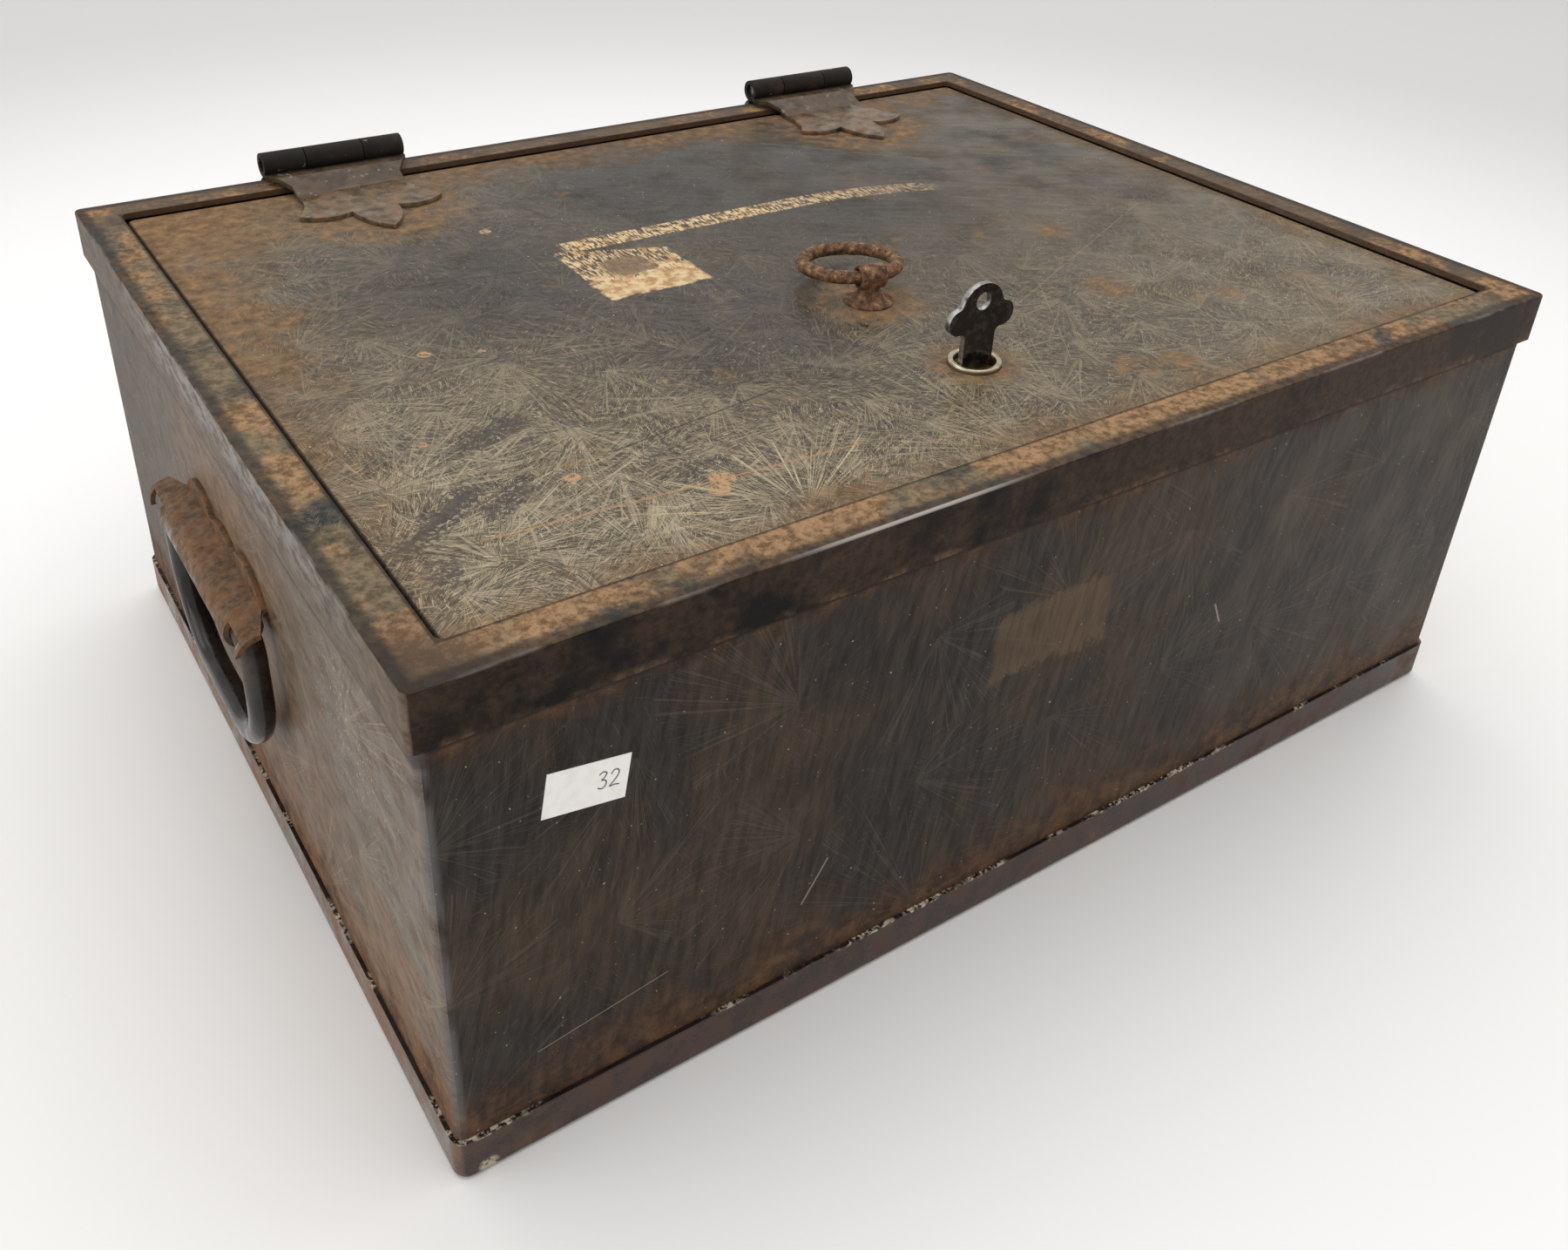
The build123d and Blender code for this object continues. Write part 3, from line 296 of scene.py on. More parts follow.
wall = Finish("walls_black_paint", roughness=0.5, specular=0.16)
skin = wall.skin()
side = wall.maths("GREATER_THAN", wall.facing[0], 0.6)
front = wall.rise(wall.y, -150.0, -152.0)
brushed = wall.patches(wall.swept(skin, 10, 7.0), 2.6, 0.26, 0.74, 5.0, 0.68)
shade = wall.mix(brushed, *BLACK_PAINT)
shade = wall.mix(wall.patches(wall.place, 48.0, 0.42, 0.66, 3.0), shade, wall.mix(brushed, *UMBER_PAINT))
toward_right = wall.rise(wall.x, -60.0, 160.0)
smudge = wall.times(wall.patches(wall.swept(skin, 24, 1.7), 26.0, 0.40, 0.72, 3.0), toward_right)
shade = wall.mix(wall.times(smudge, 0.6), shade, (0.112, 0.090, 0.070))
# The front is painted lighter toward the right: painted light, as the lamps fall more on that end.
shade = wall.mix(wall.times(toward_right, 0.35), shade, (0.052, 0.042, 0.034))

# The side walls are paler, partly their own paint and partly painted light; they are drawn out toward the
# rear and painted darker there as shade, frosted near the front under a painted sheen, and ruddy low down.
drawn_back = wall.patches(wall.swept(skin, 84, 3.0), 3.4, 0.28, 0.72, 5.0, 0.7)
mottled = wall.patches(wall.swept(skin, 78, 2.2), 20.0, 0.38, 0.64, 5.0, 0.65)
flank = wall.mix(drawn_back, *SIDE_TAN)
flank = wall.mix(wall.times(mottled, 0.8), flank, wall.mix(drawn_back, *SIDE_BROWN))
# Near the front corner the side walls are frosted and carry a painted grey sheen.
frost_sheen_streaks = wall.patches(wall.swept(skin, 84, 2.4), 8.0, 0.40, 0.60, 5.0, 0.7)
frosted = wall.times(wall.rise(wall.y, -30.0, -140.0), wall.rise(wall.z, 20.0, 90.0), frost_sheen_streaks)
flank = wall.mix(wall.times(frosted, 0.55), flank, (0.245, 0.225, 0.200))
ruddy = wall.rise(wall.shifted(wall.z, mottled, -45.0), 70.0, -20.0)
behind_plate = wall.spot(skin, BEHIND_PLATE, 74.0, 0.3)
reddened = wall.either(wall.times(ruddy, 0.7), wall.times(behind_plate, 0.55))
flank = wall.mix(reddened, flank, wall.mix(drawn_back, *SIDE_RED))
# Toward the rear the side walls are painted darker, as painted shade.
flank = wall.mix(wall.rise(wall.y, -10.0, 140.0, 0.88), flank, wall.mix(drawn_back, *SIDE_SHADE))
# The side faces take the paler side colour: partly their own paint, partly painted light.
shade = wall.mix(wall.times(side, 0.9), shade, flank)

# Needles in the paint, and rust under the frame and along the foot.
needles = wall.either(wall.strokes(skin, 22.0, 11.0, 0.3, 9.0), wall.fans(skin, 48.0, 31.0, 12.0))
near_corner = wall.rise(wall.y, 60.0, -130.0)
needle_share = wall.blend(side, 0.1, wall.shifted(0.1, near_corner, 0.4))
shade = wall.mix(wall.times(needles, needle_share), shade, (0.300, 0.250, 0.180))
ragged = wall.cloud(wall.place, 17.0, 5.0, 0.62)
under_frame = wall.rise(wall.shifted(wall.z, ragged, 22.0), 147.0, 158.0)
along_foot = wall.rise(wall.shifted(wall.z, ragged, -60.0), 12.0, -16.0)
under_frame = wall.times(under_frame, wall.blend(side, 0.5, 0.3))
along_foot = wall.times(along_foot, wall.blend(side, 0.45, 0.8))
eaten = wall.either(under_frame, along_foot)
shade = wall.mix(eaten, shade, rust_colour(wall, 0.4))

# A brown stain, scratches, specks, flakes, a painted shadow line under the skirt, the folds at the corners
# lighter from rubbing and a painted highlight, and the plain inside.
(left, right), (low, high) = STAIN_X, STAIN_Z
torn_x = wall.shifted(wall.x, ragged, 12.0)
torn_z = wall.shifted(wall.z, wall.cloud(wall.place, 6.0, 5.0, 0.7), 16.0)
across = wall.times(wall.rise(torn_x, left + 3, left + 6), wall.rise(torn_x, right + 6, right + 3))
upright = wall.times(wall.rise(torn_z, low + 3, low + 6), wall.rise(torn_z, high + 6, high + 3))
stain = wall.times(across, upright, front, wall.blend(brushed, 0.3, 0.6))
shade = wall.mix(stain, shade, (0.150, 0.092, 0.045))
for start, end, wide in SCRATCHES:
    scratch = wall.times(wall.score(skin, start, end, wide), front, 0.7)
    shade = wall.mix(scratch, shade, (0.36, 0.31, 0.22))
speck = wall.rise(wall.cloud(wall.place, 1.3, 1.0), 0.74, 0.78)
shade = wall.mix(wall.times(speck, 0.7), shade, (0.42, 0.36, 0.27))
flake = wall.rise(wall.cloud(wall.place, 1.5, 2.0), 0.64, 0.69)
flaked = wall.times(flake, wall.spot(skin, FLAKED_AT, 36.0, 0.2), side)
shade = wall.mix(wall.times(flaked, 0.8), shade, (0.520, 0.480, 0.420))
# A painted shadow line just under the frame's skirt.
shade_under_skirt = wall.rise(wall.shifted(wall.z, side, 4.0), 142.4, 143.6)
shade = wall.mix(wall.times(shade_under_skirt, 0.75), shade, (0.014, 0.009, 0.007))
# The folds at the upright corners are lighter: partly rubbed paint, partly a painted highlight down the
# rounded fold.
fold = wall.maths("ADD", wall.maths("ABSOLUTE", wall.x), wall.maths("ABSOLUTE", wall.y))
rubbed = wall.rise(fold, WALL_X + WALL_Y - 3.4, WALL_X + WALL_Y - 1.5)
rubbed = wall.times(rubbed, wall.patches(wall.place, 20.0, 0.35, 0.6))
shade = wall.mix(wall.times(rubbed, 0.55), shade, (0.170, 0.168, 0.170))
in_x = wall.rise(wall.maths("ABSOLUTE", wall.x), WALL_X - 0.6, WALL_X - WALL_THICK + 0.4)
in_y = wall.rise(wall.maths("ABSOLUTE", wall.y), WALL_Y - 0.6, WALL_Y - WALL_THICK + 0.4)
shade = wall.mix(wall.times(in_x, in_y), shade, plain_paint(wall))
wall.bump(wall.cloud(wall.place, 1.5, 4.0, 0.62), 0.045)
dress(wall.done(shade, wall.blend(eaten, wall.blend(brushed, 0.52, 0.42), 0.8)), "body_wrap")


# The pieces inside: the strip behind the rear seam, the ledge that the lid comes down on,
# and the keeper for the bolt. All are bent or cut from sheet, spot welded,
# and painted the same plain dark grey.

SIDES = ("left", "right")
FOUR_SIDES = ("front", "rear", *SIDES)
inside = Finish("inside_grey_paint", roughness=0.55)
inside.bump(inside.cloud(inside.place, 1.2, 3.0, 0.6), 0.03)
plain_inside = inside.done(plain_paint(inside), inside.patches(inside.place, 14.0, 0.2, 0.9))
dress(plain_inside, "body_seam_strip", "bolt_keeper")
dress(plain_inside, *["lid_ledge_" + name for name in FOUR_SIDES])


# The base pan: a shallow tray of thinner sheet, turned up round the foot of the body.
# Its paint has gone red-brown with rust, and old filler shows in the seam at its top.

FOOT_PAINT = (0.026, 0.014, 0.011), (0.080, 0.040, 0.028)
FOOT_RUST = (0.080, 0.042, 0.024), (0.250, 0.135, 0.072)
FOOT_TOP, CHIP_AT = 15.2, (-194.0, 2.5)
foot = Finish("foot_red_brown_paint", roughness=0.6, specular=0.3)
worn = foot.cloud(foot.place, 14.0, 5.0, 0.65)
grain = foot.rise(worn, 0.35, 0.65)
shade = foot.mix(grain, *FOOT_PAINT)
shade = foot.mix(foot.times(foot.patches(foot.place, 34.0, 0.5, 0.7), 0.6), shade, rust_colour(foot, 0.5))
shade = foot.mix(foot.rise(foot.facing[0], 0.4, 0.7, 0.75), shade, foot.mix(grain, *FOOT_RUST))
seam = foot.rise(foot.shifted(foot.z, foot.cloud(foot.place, 3.0, 2.0), 1.6), FOOT_TOP - 1.0, FOOT_TOP)
shade = foot.mix(foot.times(seam, 0.85), shade, (0.010, 0.006, 0.005))
crumbs = foot.patches(foot.place, 1.4, 0.45, 0.6)
filler = foot.times(seam, foot.patches(foot.place, 26.0, 0.5, 0.58), crumbs)
shade = foot.mix(filler, shade, (0.560, 0.480, 0.370))
chip = foot.times(foot.spot(foot.joined(foot.x, foot.z), CHIP_AT, 3.4), foot.rise(foot.y, -153.0, -154.5))
shade = foot.mix(foot.times(chip, foot.patches(foot.place, 1.5, 0.4, 0.5)), shade, (0.45, 0.38, 0.28))
tray = foot.times(foot.rise(foot.upward, 0.5, 0.8), foot.rise(foot.z, 10.0, 6.0))
shade = foot.mix(tray, shade, plain_paint(foot))
foot.bump(foot.cloud(foot.place, 1.5, 4.0, 0.65), 0.08)
dress(foot.done(shade, foot.rise(worn, 0.2, 0.9, 0.85)), "base_pan")


# The top frame: four bars of steel angle, mitred and welded, that stiffen the mouth of the box.
# Their paint is mottled with orange rust, and lighter along the outer edge, partly rubbed and partly a
# painted highlight.

FRAME_X, FRAME_Y, FRAME_TOP, FRAME_FLANGE = 203.2, 155.5, 162.0, 13.0
FRAME_CORNER, SKIRT_SHEEN_AT = (-FRAME_X, -FRAME_Y), (-20.0, 158.0)
SKIRT_DARK = (0.005, 0.004, 0.004), (0.026, 0.015, 0.010)
SKIRT_TAN = (0.074, 0.053, 0.035), (0.190, 0.148, 0.106)
SKIRT_BROWN = (0.040, 0.028, 0.018), (0.125, 0.080, 0.048)
TOP_DULL = (0.022, 0.022, 0.022), (0.072, 0.064, 0.050)
TOP_TAN = (0.098, 0.070, 0.038), (0.215, 0.162, 0.096)
TOP_BROWN = (0.050, 0.030, 0.019), (0.150, 0.088, 0.052)
TOP_ORANGE = (0.150, 0.086, 0.044), (0.370, 0.225, 0.122)
INNER_BROWN = (0.045, 0.026, 0.016), (0.170, 0.092, 0.050)

bars = Finish("frame_mottled_paint", roughness=0.46, specular=0.1)
skin = bars.skin()
on_top = bars.rise(bars.upward, 0.5, 0.8)
fine = bars.cloud(bars.place, 2.6, 5.0, 0.7)
grain = bars.rise(fine, 0.35, 0.65)
blotch = bars.cloud(bars.place, 24.0, 6.0, 0.64)
brushed = bars.patches(bars.swept(skin, 84, 3.0), 3.0, 0.28, 0.72, 5.0, 0.7)
shade = bars.mix(bars.times(bars.patches(bars.place, 30.0, 0.42, 0.64), brushed), *SKIRT_DARK)
shade = bars.mix(bars.rise(bars.x, -20.0, 170.0, 0.6), shade, (0.034, 0.021, 0.015))
# The side faces of the skirt are paler like the side walls, partly their own paint and partly painted light,
# with a painted sheen high on the left skirt.
flank = bars.mix(brushed, *SKIRT_TAN)
flank = bars.mix(bars.rise(bars.y, 0.0, 150.0, 0.4), flank, bars.mix(brushed, *SKIRT_BROWN))
skirt_sheen = bars.times(bars.rise(bars.z, 147.0, 158.0), bars.spot(skin, SKIRT_SHEEN_AT, 130.0, 0.3))
skirt_sheen = bars.times(skirt_sheen, bars.rise(brushed, 0.2, 0.8))
flank = bars.mix(bars.times(skirt_sheen, 0.85), flank, (0.300, 0.280, 0.262))
shade = bars.mix(bars.times(bars.rise(bars.facing[0], 0.4, 0.7), 0.9), shade, flank)

# The flange on top: dull and tan patches with short needles, under orange rust.
toward_left = bars.rise(bars.x, -150.0, -190.0)
tanned = bars.rise(bars.shifted(blotch, toward_left, 0.08), 0.40, 0.60)
top_paint = bars.mix(tanned, bars.mix(grain, *TOP_DULL), bars.mix(grain, *TOP_TAN))
shade = bars.mix(on_top, shade, top_paint)
lines = bars.times(bars.strokes(skin, 12.0, 5.0, 0.3, 5.0), bars.patches(bars.place, 15.0, 0.36, 0.6))
shade = bars.mix(bars.times(lines, bars.blend(on_top, 0.05, 0.6)), shade, (0.290, 0.240, 0.160))
front = bars.rise(bars.y, -100.0, -150.0)
along_right = bars.times(front, bars.rise(bars.x, -40.0, 40.0), bars.rise(bars.x, 180.0, 130.0))
much = bars.shifted(bars.cloud(bars.place, 29.0, 6.0, 0.66), front, 0.05)
much = bars.shifted(much, along_right, 0.09)
rusted = bars.times(bars.rise(much, 0.48, 0.62), bars.blend(on_top, 0.1, 0.92))
orange = bars.mix(bars.rise(fine, 0.36, 0.62), *TOP_ORANGE)
far_bars = bars.either(bars.rise(bars.x, 170.0, 188.0), bars.rise(bars.y, 120.0, 140.0))
shade = bars.mix(bars.times(far_bars, on_top, 0.7), shade, bars.mix(fine, *TOP_BROWN))
shade = bars.mix(rusted, shade, orange)
skirt_foot = bars.times(bars.rise(bars.z, 148.5, 145.5), bars.patches(bars.place, 11.0, 0.45, 0.65), 0.3)
shade = bars.mix(skirt_foot, shade, orange)

# The edges: dark beside the outer one, lighter along the outer one where hands rub it and as a painted
# highlight, a painted shadow line on top along the inner one by the gap to the lid, and brown on the inner
# cut faces.
out_x = bars.less(FRAME_X, bars.maths("ABSOLUTE", bars.x))
out_y = bars.less(FRAME_Y, bars.maths("ABSOLUTE", bars.y))
from_edge = bars.maths("ADD", bars.maths("MINIMUM", out_x, out_y), bars.less(FRAME_TOP, bars.z))
edge_dark = bars.times(bars.rise(from_edge, 5.0, 2.2), on_top, 0.72)
shade = bars.mix(edge_dark, shade, (0.020, 0.019, 0.019))
# The light line along the middle of the front edge is a painted highlight as well as wear.
middle = bars.times(front, bars.rise(bars.x, -118.0, -80.0), bars.rise(bars.x, -25.0, -60.0))
along = bars.either(bars.times(bars.patches(bars.place, 22.0, 0.5, 0.62), 0.22), middle)
edge_highlight_and_wear = bars.times(bars.rise(from_edge, 0.9, 0.4), along)
shade = bars.mix(bars.times(edge_highlight_and_wear, 0.8), shade, (0.50, 0.46, 0.44))
inner_x = bars.less(bars.maths("ABSOLUTE", bars.x), FRAME_X - FRAME_FLANGE)
inner_y = bars.less(bars.maths("ABSOLUTE", bars.y), FRAME_Y - FRAME_FLANGE)
inner_edge = bars.rise(bars.maths("MAXIMUM", inner_x, inner_y), 1.1, 0.4)
# A painted shadow line on top along the inner edge, where the gap to the lid lies.
shade = bars.mix(bars.times(inner_edge, on_top, 0.7), shade, (0.018, 0.014, 0.012))
cut_face = bars.times(inner_edge, bars.less(1.0, on_top), 0.85)
shade = bars.mix(cut_face, shade, bars.mix(fine, *INNER_BROWN))
corner_at = bars.spot(bars.joined(bars.x, bars.y), FRAME_CORNER, 30.0, 0.4)
corner = bars.times(corner_at, on_top, bars.rise(fine, 0.3, 0.5), 0.7)
shade = bars.mix(corner, shade, (0.022, 0.023, 0.024))
bars.bump(bars.cloud(bars.place, 1.5, 4.0, 0.65), 0.07)
frame_paint = bars.done(shade, bars.blend(rusted, bars.blend(edge_highlight_and_wear, 0.46, 0.3), 0.85))
dress(frame_paint, *["frame_bar_" + name for name in FOUR_SIDES])


# The lid: a steel plate with its four edges folded down, set just below the frame.
# Its paint dried in large frost-like fans, which have gone tan, with rust at its edges,
# and the torn backs of old gummed labels still cling to it.

LID_X, LID_Y, LID_TOP = 189.0, 141.3, 160.0
STUD_AT, KEYHOLE_AT = (0.0, -43.5), (0.0, -95.5)
HINGE_LEAVES_AT = (-109.5, 112.0), (109.5, 112.0)
# A fan has its centre, its direction and half its opening in degrees, its reach and its strength.
FANS = [
    ((-90.0, -137.0), 98, 78, 62.0, 0.9),
    ((-167.0, -117.0), 10, 36, 100.0, 0.75),
    ((-187.0, -106.0), 32, 30, 95.0, 0.7),
    ((-183.0, -80.0), 6, 26, 75.0, 0.7),
    ((-184.0, -42.0), -6, 34, 70.0, 0.6),
    ((-134.0, -134.0), 64, 52, 40.0, 0.7),
    ((-22.0, -142.0), 118, 56, 80.0, 0.5),
    ((118.0, -137.0), 95, 70, 60.0, 0.22),
    ((2.0, -95.0), -62, 80, 46.0, 0.4),
]
# Long places that the needles left bare, each with its two ends and half its width.
BARE_LEAVES = [
    ((-151.1, -65.8), (-133.4, -58.8), 4.2),
    ((-182.0, -103.5), (-159.0, -87.0), 4.6),
    ((-158.0, -98.5), (-146.0, -91.6), 3.6),
    ((-180.9, -119.4), (-176.0, -115.8), 3.0),
    ((-111.4, -93.7), (-103.2, -92.3), 2.4),
    ((-108.3, -106.0), (-99.7, -102.6), 2.4),
]
# Round places with their radii: dark pools, bare spots, and rust round the stud, the keyhole and the
# hinge leaves and in blooms of its own. The last number of a halo is how much of it is full.
POOLS = [((-100.0, 30.0), 74.0), ((-50.0, -38.0), 70.0), ((-14.0, 84.0), 60.0)]
SPOTS = [
    ((-139.2, -10.0), 2.4), ((-123.6, -16.1), 1.5), ((-83.1, 71.6), 2.6), ((-133.8, -94.3), 2.6),
    ((-101.0, -114.0), 4.2), ((-104.5, -118.5), 3.4), ((-160.0, -60.0), 1.6), ((-86.0, -60.0), 1.2),
]
HALOES = [(STUD_AT, 26.0, 0.35), (KEYHOLE_AT, 19.0, 0.45), *[(at, 44.0, 0.5) for at in HINGE_LEAVES_AT]]
BLOOMS = [
    ((78.0, -74.0), 13.0), ((99.0, -26.0), 11.0), ((41.0, -121.0), 12.0), ((57.0, -124.0), 12.0),
    ((112.0, -96.0), 9.0),
]
RUSTY_SCRATCH = (-166.0, -109.5), (-56.0, -117.5)
DARK_SCRATCHES = [
    ((-125.0, 38.3), (-40.6, 26.1)), ((-61.0, 87.0), (-54.0, 63.0)), ((-118.0, -88.0), (-62.0, -80.0)),
]
PALE_SCRATCHES = [
    ((40.0, -70.0), (150.0, -20.0)), ((90.0, 20.0), (160.0, -40.0)), ((20.0, -120.0), (60.0, -60.0)),
    ((110.0, 60.0), (60.0, 110.0)),
]
LID_DARK = (0.013, 0.011, 0.010), (0.046, 0.038, 0.029)
LID_POOL = (0.010, 0.009, 0.010), (0.036, 0.032, 0.030)
LID_RUST = (0.125, 0.070, 0.032), (0.290, 0.165, 0.076)
GUM = (0.420, 0.230, 0.090), (0.700, 0.520, 0.290)
NEEDLE, NEEDLE_SHADOW = (0.560, 0.460, 0.295), (0.014, 0.011, 0.011)

# The ground: streaky dark paint with black pools, hazed tan toward the front and the left.
lid = Finish("lid_frosted_paint", roughness=0.44, specular=0.2)
flat = lid.joined(lid.x, lid.y)
ragged = lid.cloud(flat, 24.0, 5.0, 0.62)
fine = lid.cloud(flat, 5.0, 5.0, 0.62)
gritty = lid.rise(lid.cloud(flat, 1.6, 4.0, 0.7), 0.42, 0.54)
streaky = lid.patches(lid.swept(flat, -58, 7.0), 2.6, 0.28, 0.72, 5.0, 0.68)
ground = lid.mix(streaky, *LID_DARK)
ground = lid.mix(lid.times(lid.patches(flat, 60.0, 0.4, 0.64), 0.4), ground, (0.085, 0.066, 0.042))
toward_right = lid.times(lid.rise(lid.x, 20.0, 150.0), lid.patches(flat, 34.0, 0.34, 0.62))
toward_right = lid.times(toward_right, lid.blend(streaky, 0.28, 0.66))
ground = lid.mix(toward_right, ground, (0.168, 0.128, 0.078))
pool = lid.any_of(lid.spot(flat, at, radius, 0.25) for at, radius in POOLS)
pool = lid.times(pool, lid.patches(flat, 30.0, 0.3, 0.5))
ground = lid.mix(lid.times(pool, 0.85), ground, lid.mix(streaky, *LID_POOL))
toward_front = lid.rise(lid.shifted(lid.times(lid.y, -1.0), ragged, 60.0), -10.0, 150.0)
toward_left = lid.rise(lid.shifted(lid.times(lid.x, -1.0), ragged, 60.0), -60.0, 200.0)
haze = lid.shifted(lid.times(toward_left, 0.28), toward_front, 0.34)
haze = lid.times(haze, lid.shifted(1.0, pool, -0.6))
shade = lid.mix(lid.times(haze, lid.rise(fine, 0.3, 0.62)), ground, (0.135, 0.101, 0.060))

# The needles. Those of the first three fans have a dark line beside them.
drawn_dark = lid.any_of(lid.fan(flat, (x + 3.0, y), *rest) for (x, y), *rest, weight in FANS[:3])
shade = lid.mix(lid.times(drawn_dark, 0.7), shade, NEEDLE_SHADOW)
drawn = lid.any_of(lid.times(lid.fan(flat, *one), weight) for *one, weight in FANS)
bent = lid.joined(lid.shifted(lid.x, fine, 6.0), lid.shifted(lid.y, gritty, 6.0))
leaves = lid.any_of(
    lid.score(bent, (x0 + 3, y0 + 3), (x1 + 3, y1 + 3), wide) for (x0, y0), (x1, y1), wide in BARE_LEAVES
)
hairs = lid.strokes(flat, 13.0, 23.0, 0.26, 6.0, 0.54, 0.64)
hairs = lid.either(hairs, lid.strokes(flat, 9.0, 71.0, 0.3, 4.0, 0.56, 0.66))
dark_hairs = lid.strokes(flat, 15.0, 91.0, 0.3, 7.0, 0.54, 0.62)
small = lid.either(lid.fans(flat, 44.0, 57.0, 11.0), lid.fans(flat, 27.0, 83.0, 9.0))
broken = lid.rise(lid.cloud(flat, 18.0, 3.0), 0.3, 0.48)
others = lid.either(lid.times(hairs, 0.9), lid.times(small, 0.55))
share = lid.either(lid.times(drawn, broken), lid.times(others, lid.shifted(0.01, haze, 1.5)))
share = lid.times(share, lid.shifted(1.0, leaves, -0.9))
shade = lid.mix(lid.times(share, 0.95), shade, NEEDLE)
shade = lid.mix(lid.times(dark_hairs, lid.shifted(0.1, haze, 1.4), 0.75), shade, (0.014, 0.011, 0.010))
shade = lid.mix(lid.times(leaves, 0.5), shade, (0.050, 0.043, 0.037))

# Rust that eats in from the edges, and scratches and specks over all.
rearward = lid.rise(lid.y, -110.0, 60.0)
from_left = lid.maths("ADD", lid.x, LID_X)
from_left = lid.shifted(from_left, ragged, lid.blend(rearward, -34.0, -75.0))
eaten = lid.times(lid.rise(from_left, 4.0, -34.0), lid.blend(rearward, 0.6, 0.85))
corner = lid.maths("ADD", from_left, lid.less(LID_Y, lid.y))
eaten = lid.either(eaten, lid.rise(corner, 84.0, -6.0))
from_rear = lid.shifted(lid.less(LID_Y, lid.y), ragged, -80.0)
eaten = lid.either(eaten, lid.rise(from_rear, -6.0, -40.0, 0.75))
from_front = lid.shifted(lid.maths("ADD", lid.y, LID_Y), ragged, -36.0)
eaten = lid.either(eaten, lid.rise(from_front, -2.0, -20.0, 0.6))
from_right = lid.shifted(lid.less(LID_X, lid.x), ragged, -40.0)
eaten = lid.either(eaten, lid.rise(from_right, -4.0, -22.0, 0.5))
eaten = lid.either(eaten, lid.times(lid.patches(flat, 26.0, 0.6, 0.7), lid.rise(fine, 0.4, 0.6, 0.6)))
haloes = lid.any_of(lid.spot(flat, at, radius, soft) for at, radius, soft in HALOES)
eaten = lid.either(eaten, lid.times(haloes, lid.rise(fine, 0.3, 0.56, 0.85)))
blooms = lid.any_of(lid.spot(flat, at, radius, 0.1) for at, radius in BLOOMS)
eaten = lid.either(eaten, lid.times(blooms, lid.rise(fine, 0.36, 0.54, 0.8)))
veil = lid.mix(lid.rise(fine, 0.3, 0.7), *LID_RUST)
shade = lid.mix(lid.times(eaten, 0.85), shade, veil)
shade = lid.mix(lid.times(eaten, lid.rise(fine, 0.58, 0.74), 0.7), shade, (0.380, 0.185, 0.075))
spots = lid.any_of(lid.spot(flat, at, radius, 0.7) for at, radius in SPOTS)
shade = lid.mix(lid.times(spots, gritty), shade, (0.450, 0.262, 0.125))
scratch = lid.times(lid.score(flat, *RUSTY_SCRATCH, 0.55), broken, 0.6)
shade = lid.mix(scratch, shade, (0.430, 0.220, 0.100))
for start, end in DARK_SCRATCHES:
    shade = lid.mix(lid.times(lid.score(flat, start, end, 0.5), 0.65), shade, (0.012, 0.011, 0.011))
for start, end in PALE_SCRATCHES:
    shade = lid.mix(lid.times(lid.score(flat, start, end, 0.3), broken, 0.35), shade, (0.30, 0.26, 0.19))
speck = lid.rise(lid.cloud(flat, 1.2, 1.0), 0.74, 0.78)
shade = lid.mix(lid.times(speck, 0.8), shade, (0.50, 0.44, 0.33))

# What is left of the gummed labels: a torn patch and a long thin strip.
dashes = lid.cloud(lid.vector("MULTIPLY", flat, (1 / 0.8, 1 / 4.5, 1.0)), 1.0, 2.0, 0.5)
torn = lid.cloud(flat, 4.0, 4.0, 0.6)
gum_colour = lid.mix(lid.rise(torn, 0.38, 0.6), *GUM)
patch_x = lid.shifted(lid.shifted(lid.x, lid.y, -0.02), torn, 5.0)
patch_y = lid.shifted(lid.y, torn, 5.0)
patch_top = lid.shifted(patch_y, lid.x, 0.35)
gum = lid.times(lid.rise(patch_x, -70.5, -69.0), lid.rise(patch_x, -31.0, -32.5))
gum = lid.times(gum, lid.rise(patch_y, -0.5, 1.0), lid.rise(patch_top, 20.5, 18.5))
solid_gum = lid.maths("ADD", lid.rise(lid.y, 24.0, 2.0, 0.2), dashes)
hollow_at = lid.joined(lid.shifted(lid.x, torn, 12.0), lid.shifted(lid.y, fine, 12.0))
hollow = lid.spot(hollow_at, (-48.0, 26.0), 10.0, 0.7)
shade = lid.mix(lid.times(hollow, 0.6), shade, (0.200, 0.110, 0.050))
gum = lid.times(gum, lid.rise(solid_gum, 0.46, 0.52), lid.shifted(1.0, hollow, -0.85))
shade = lid.mix(lid.times(gum, 0.95), shade, gum_colour)
sag = lid.maths("POWER", lid.maths("MAXIMUM", lid.less(lid.x, 30.0), 0.0), 2.0)
strip_y = lid.maths("ABSOLUTE", lid.less(lid.shifted(lid.y, sag, 0.0028), 44.0))
strip = lid.times(lid.rise(strip_y, 5.2, 4.2), lid.rise(lid.x, -68.0, -64.0), lid.rise(lid.x, 96.0, 86.0))
strip = lid.times(strip, lid.rise(dashes, 0.44, 0.5))
fading = lid.rise(lid.x, 150.0, 0.0)
shade = lid.mix(lid.times(strip, fading, lid.rise(torn, 0.3, 0.5)), shade, gum_colour)
# A painted shadow round the rim of the lid, in the gap under the frame.
to_side = lid.less(LID_X, lid.maths("ABSOLUTE", lid.x))
to_end = lid.less(LID_Y, lid.maths("ABSOLUTE", lid.y))
rim_gap_shade = lid.rise(lid.maths("MINIMUM", to_side, to_end), 1.3, 0.5, 0.85)
shade = lid.mix(rim_gap_shade, shade, (0.014, 0.010, 0.008))
shade = lid.mix(lid.rise(lid.z, LID_TOP - 0.8, LID_TOP - 1.4), shade, plain_paint(lid))
lid.bump(lid.cloud(lid.place, 1.5, 4.0, 0.62), 0.045)
dress(lid.done(shade, lid.blend(eaten, lid.rise(ragged, 0.2, 0.8, 0.64), 0.82)), "lid_pan")


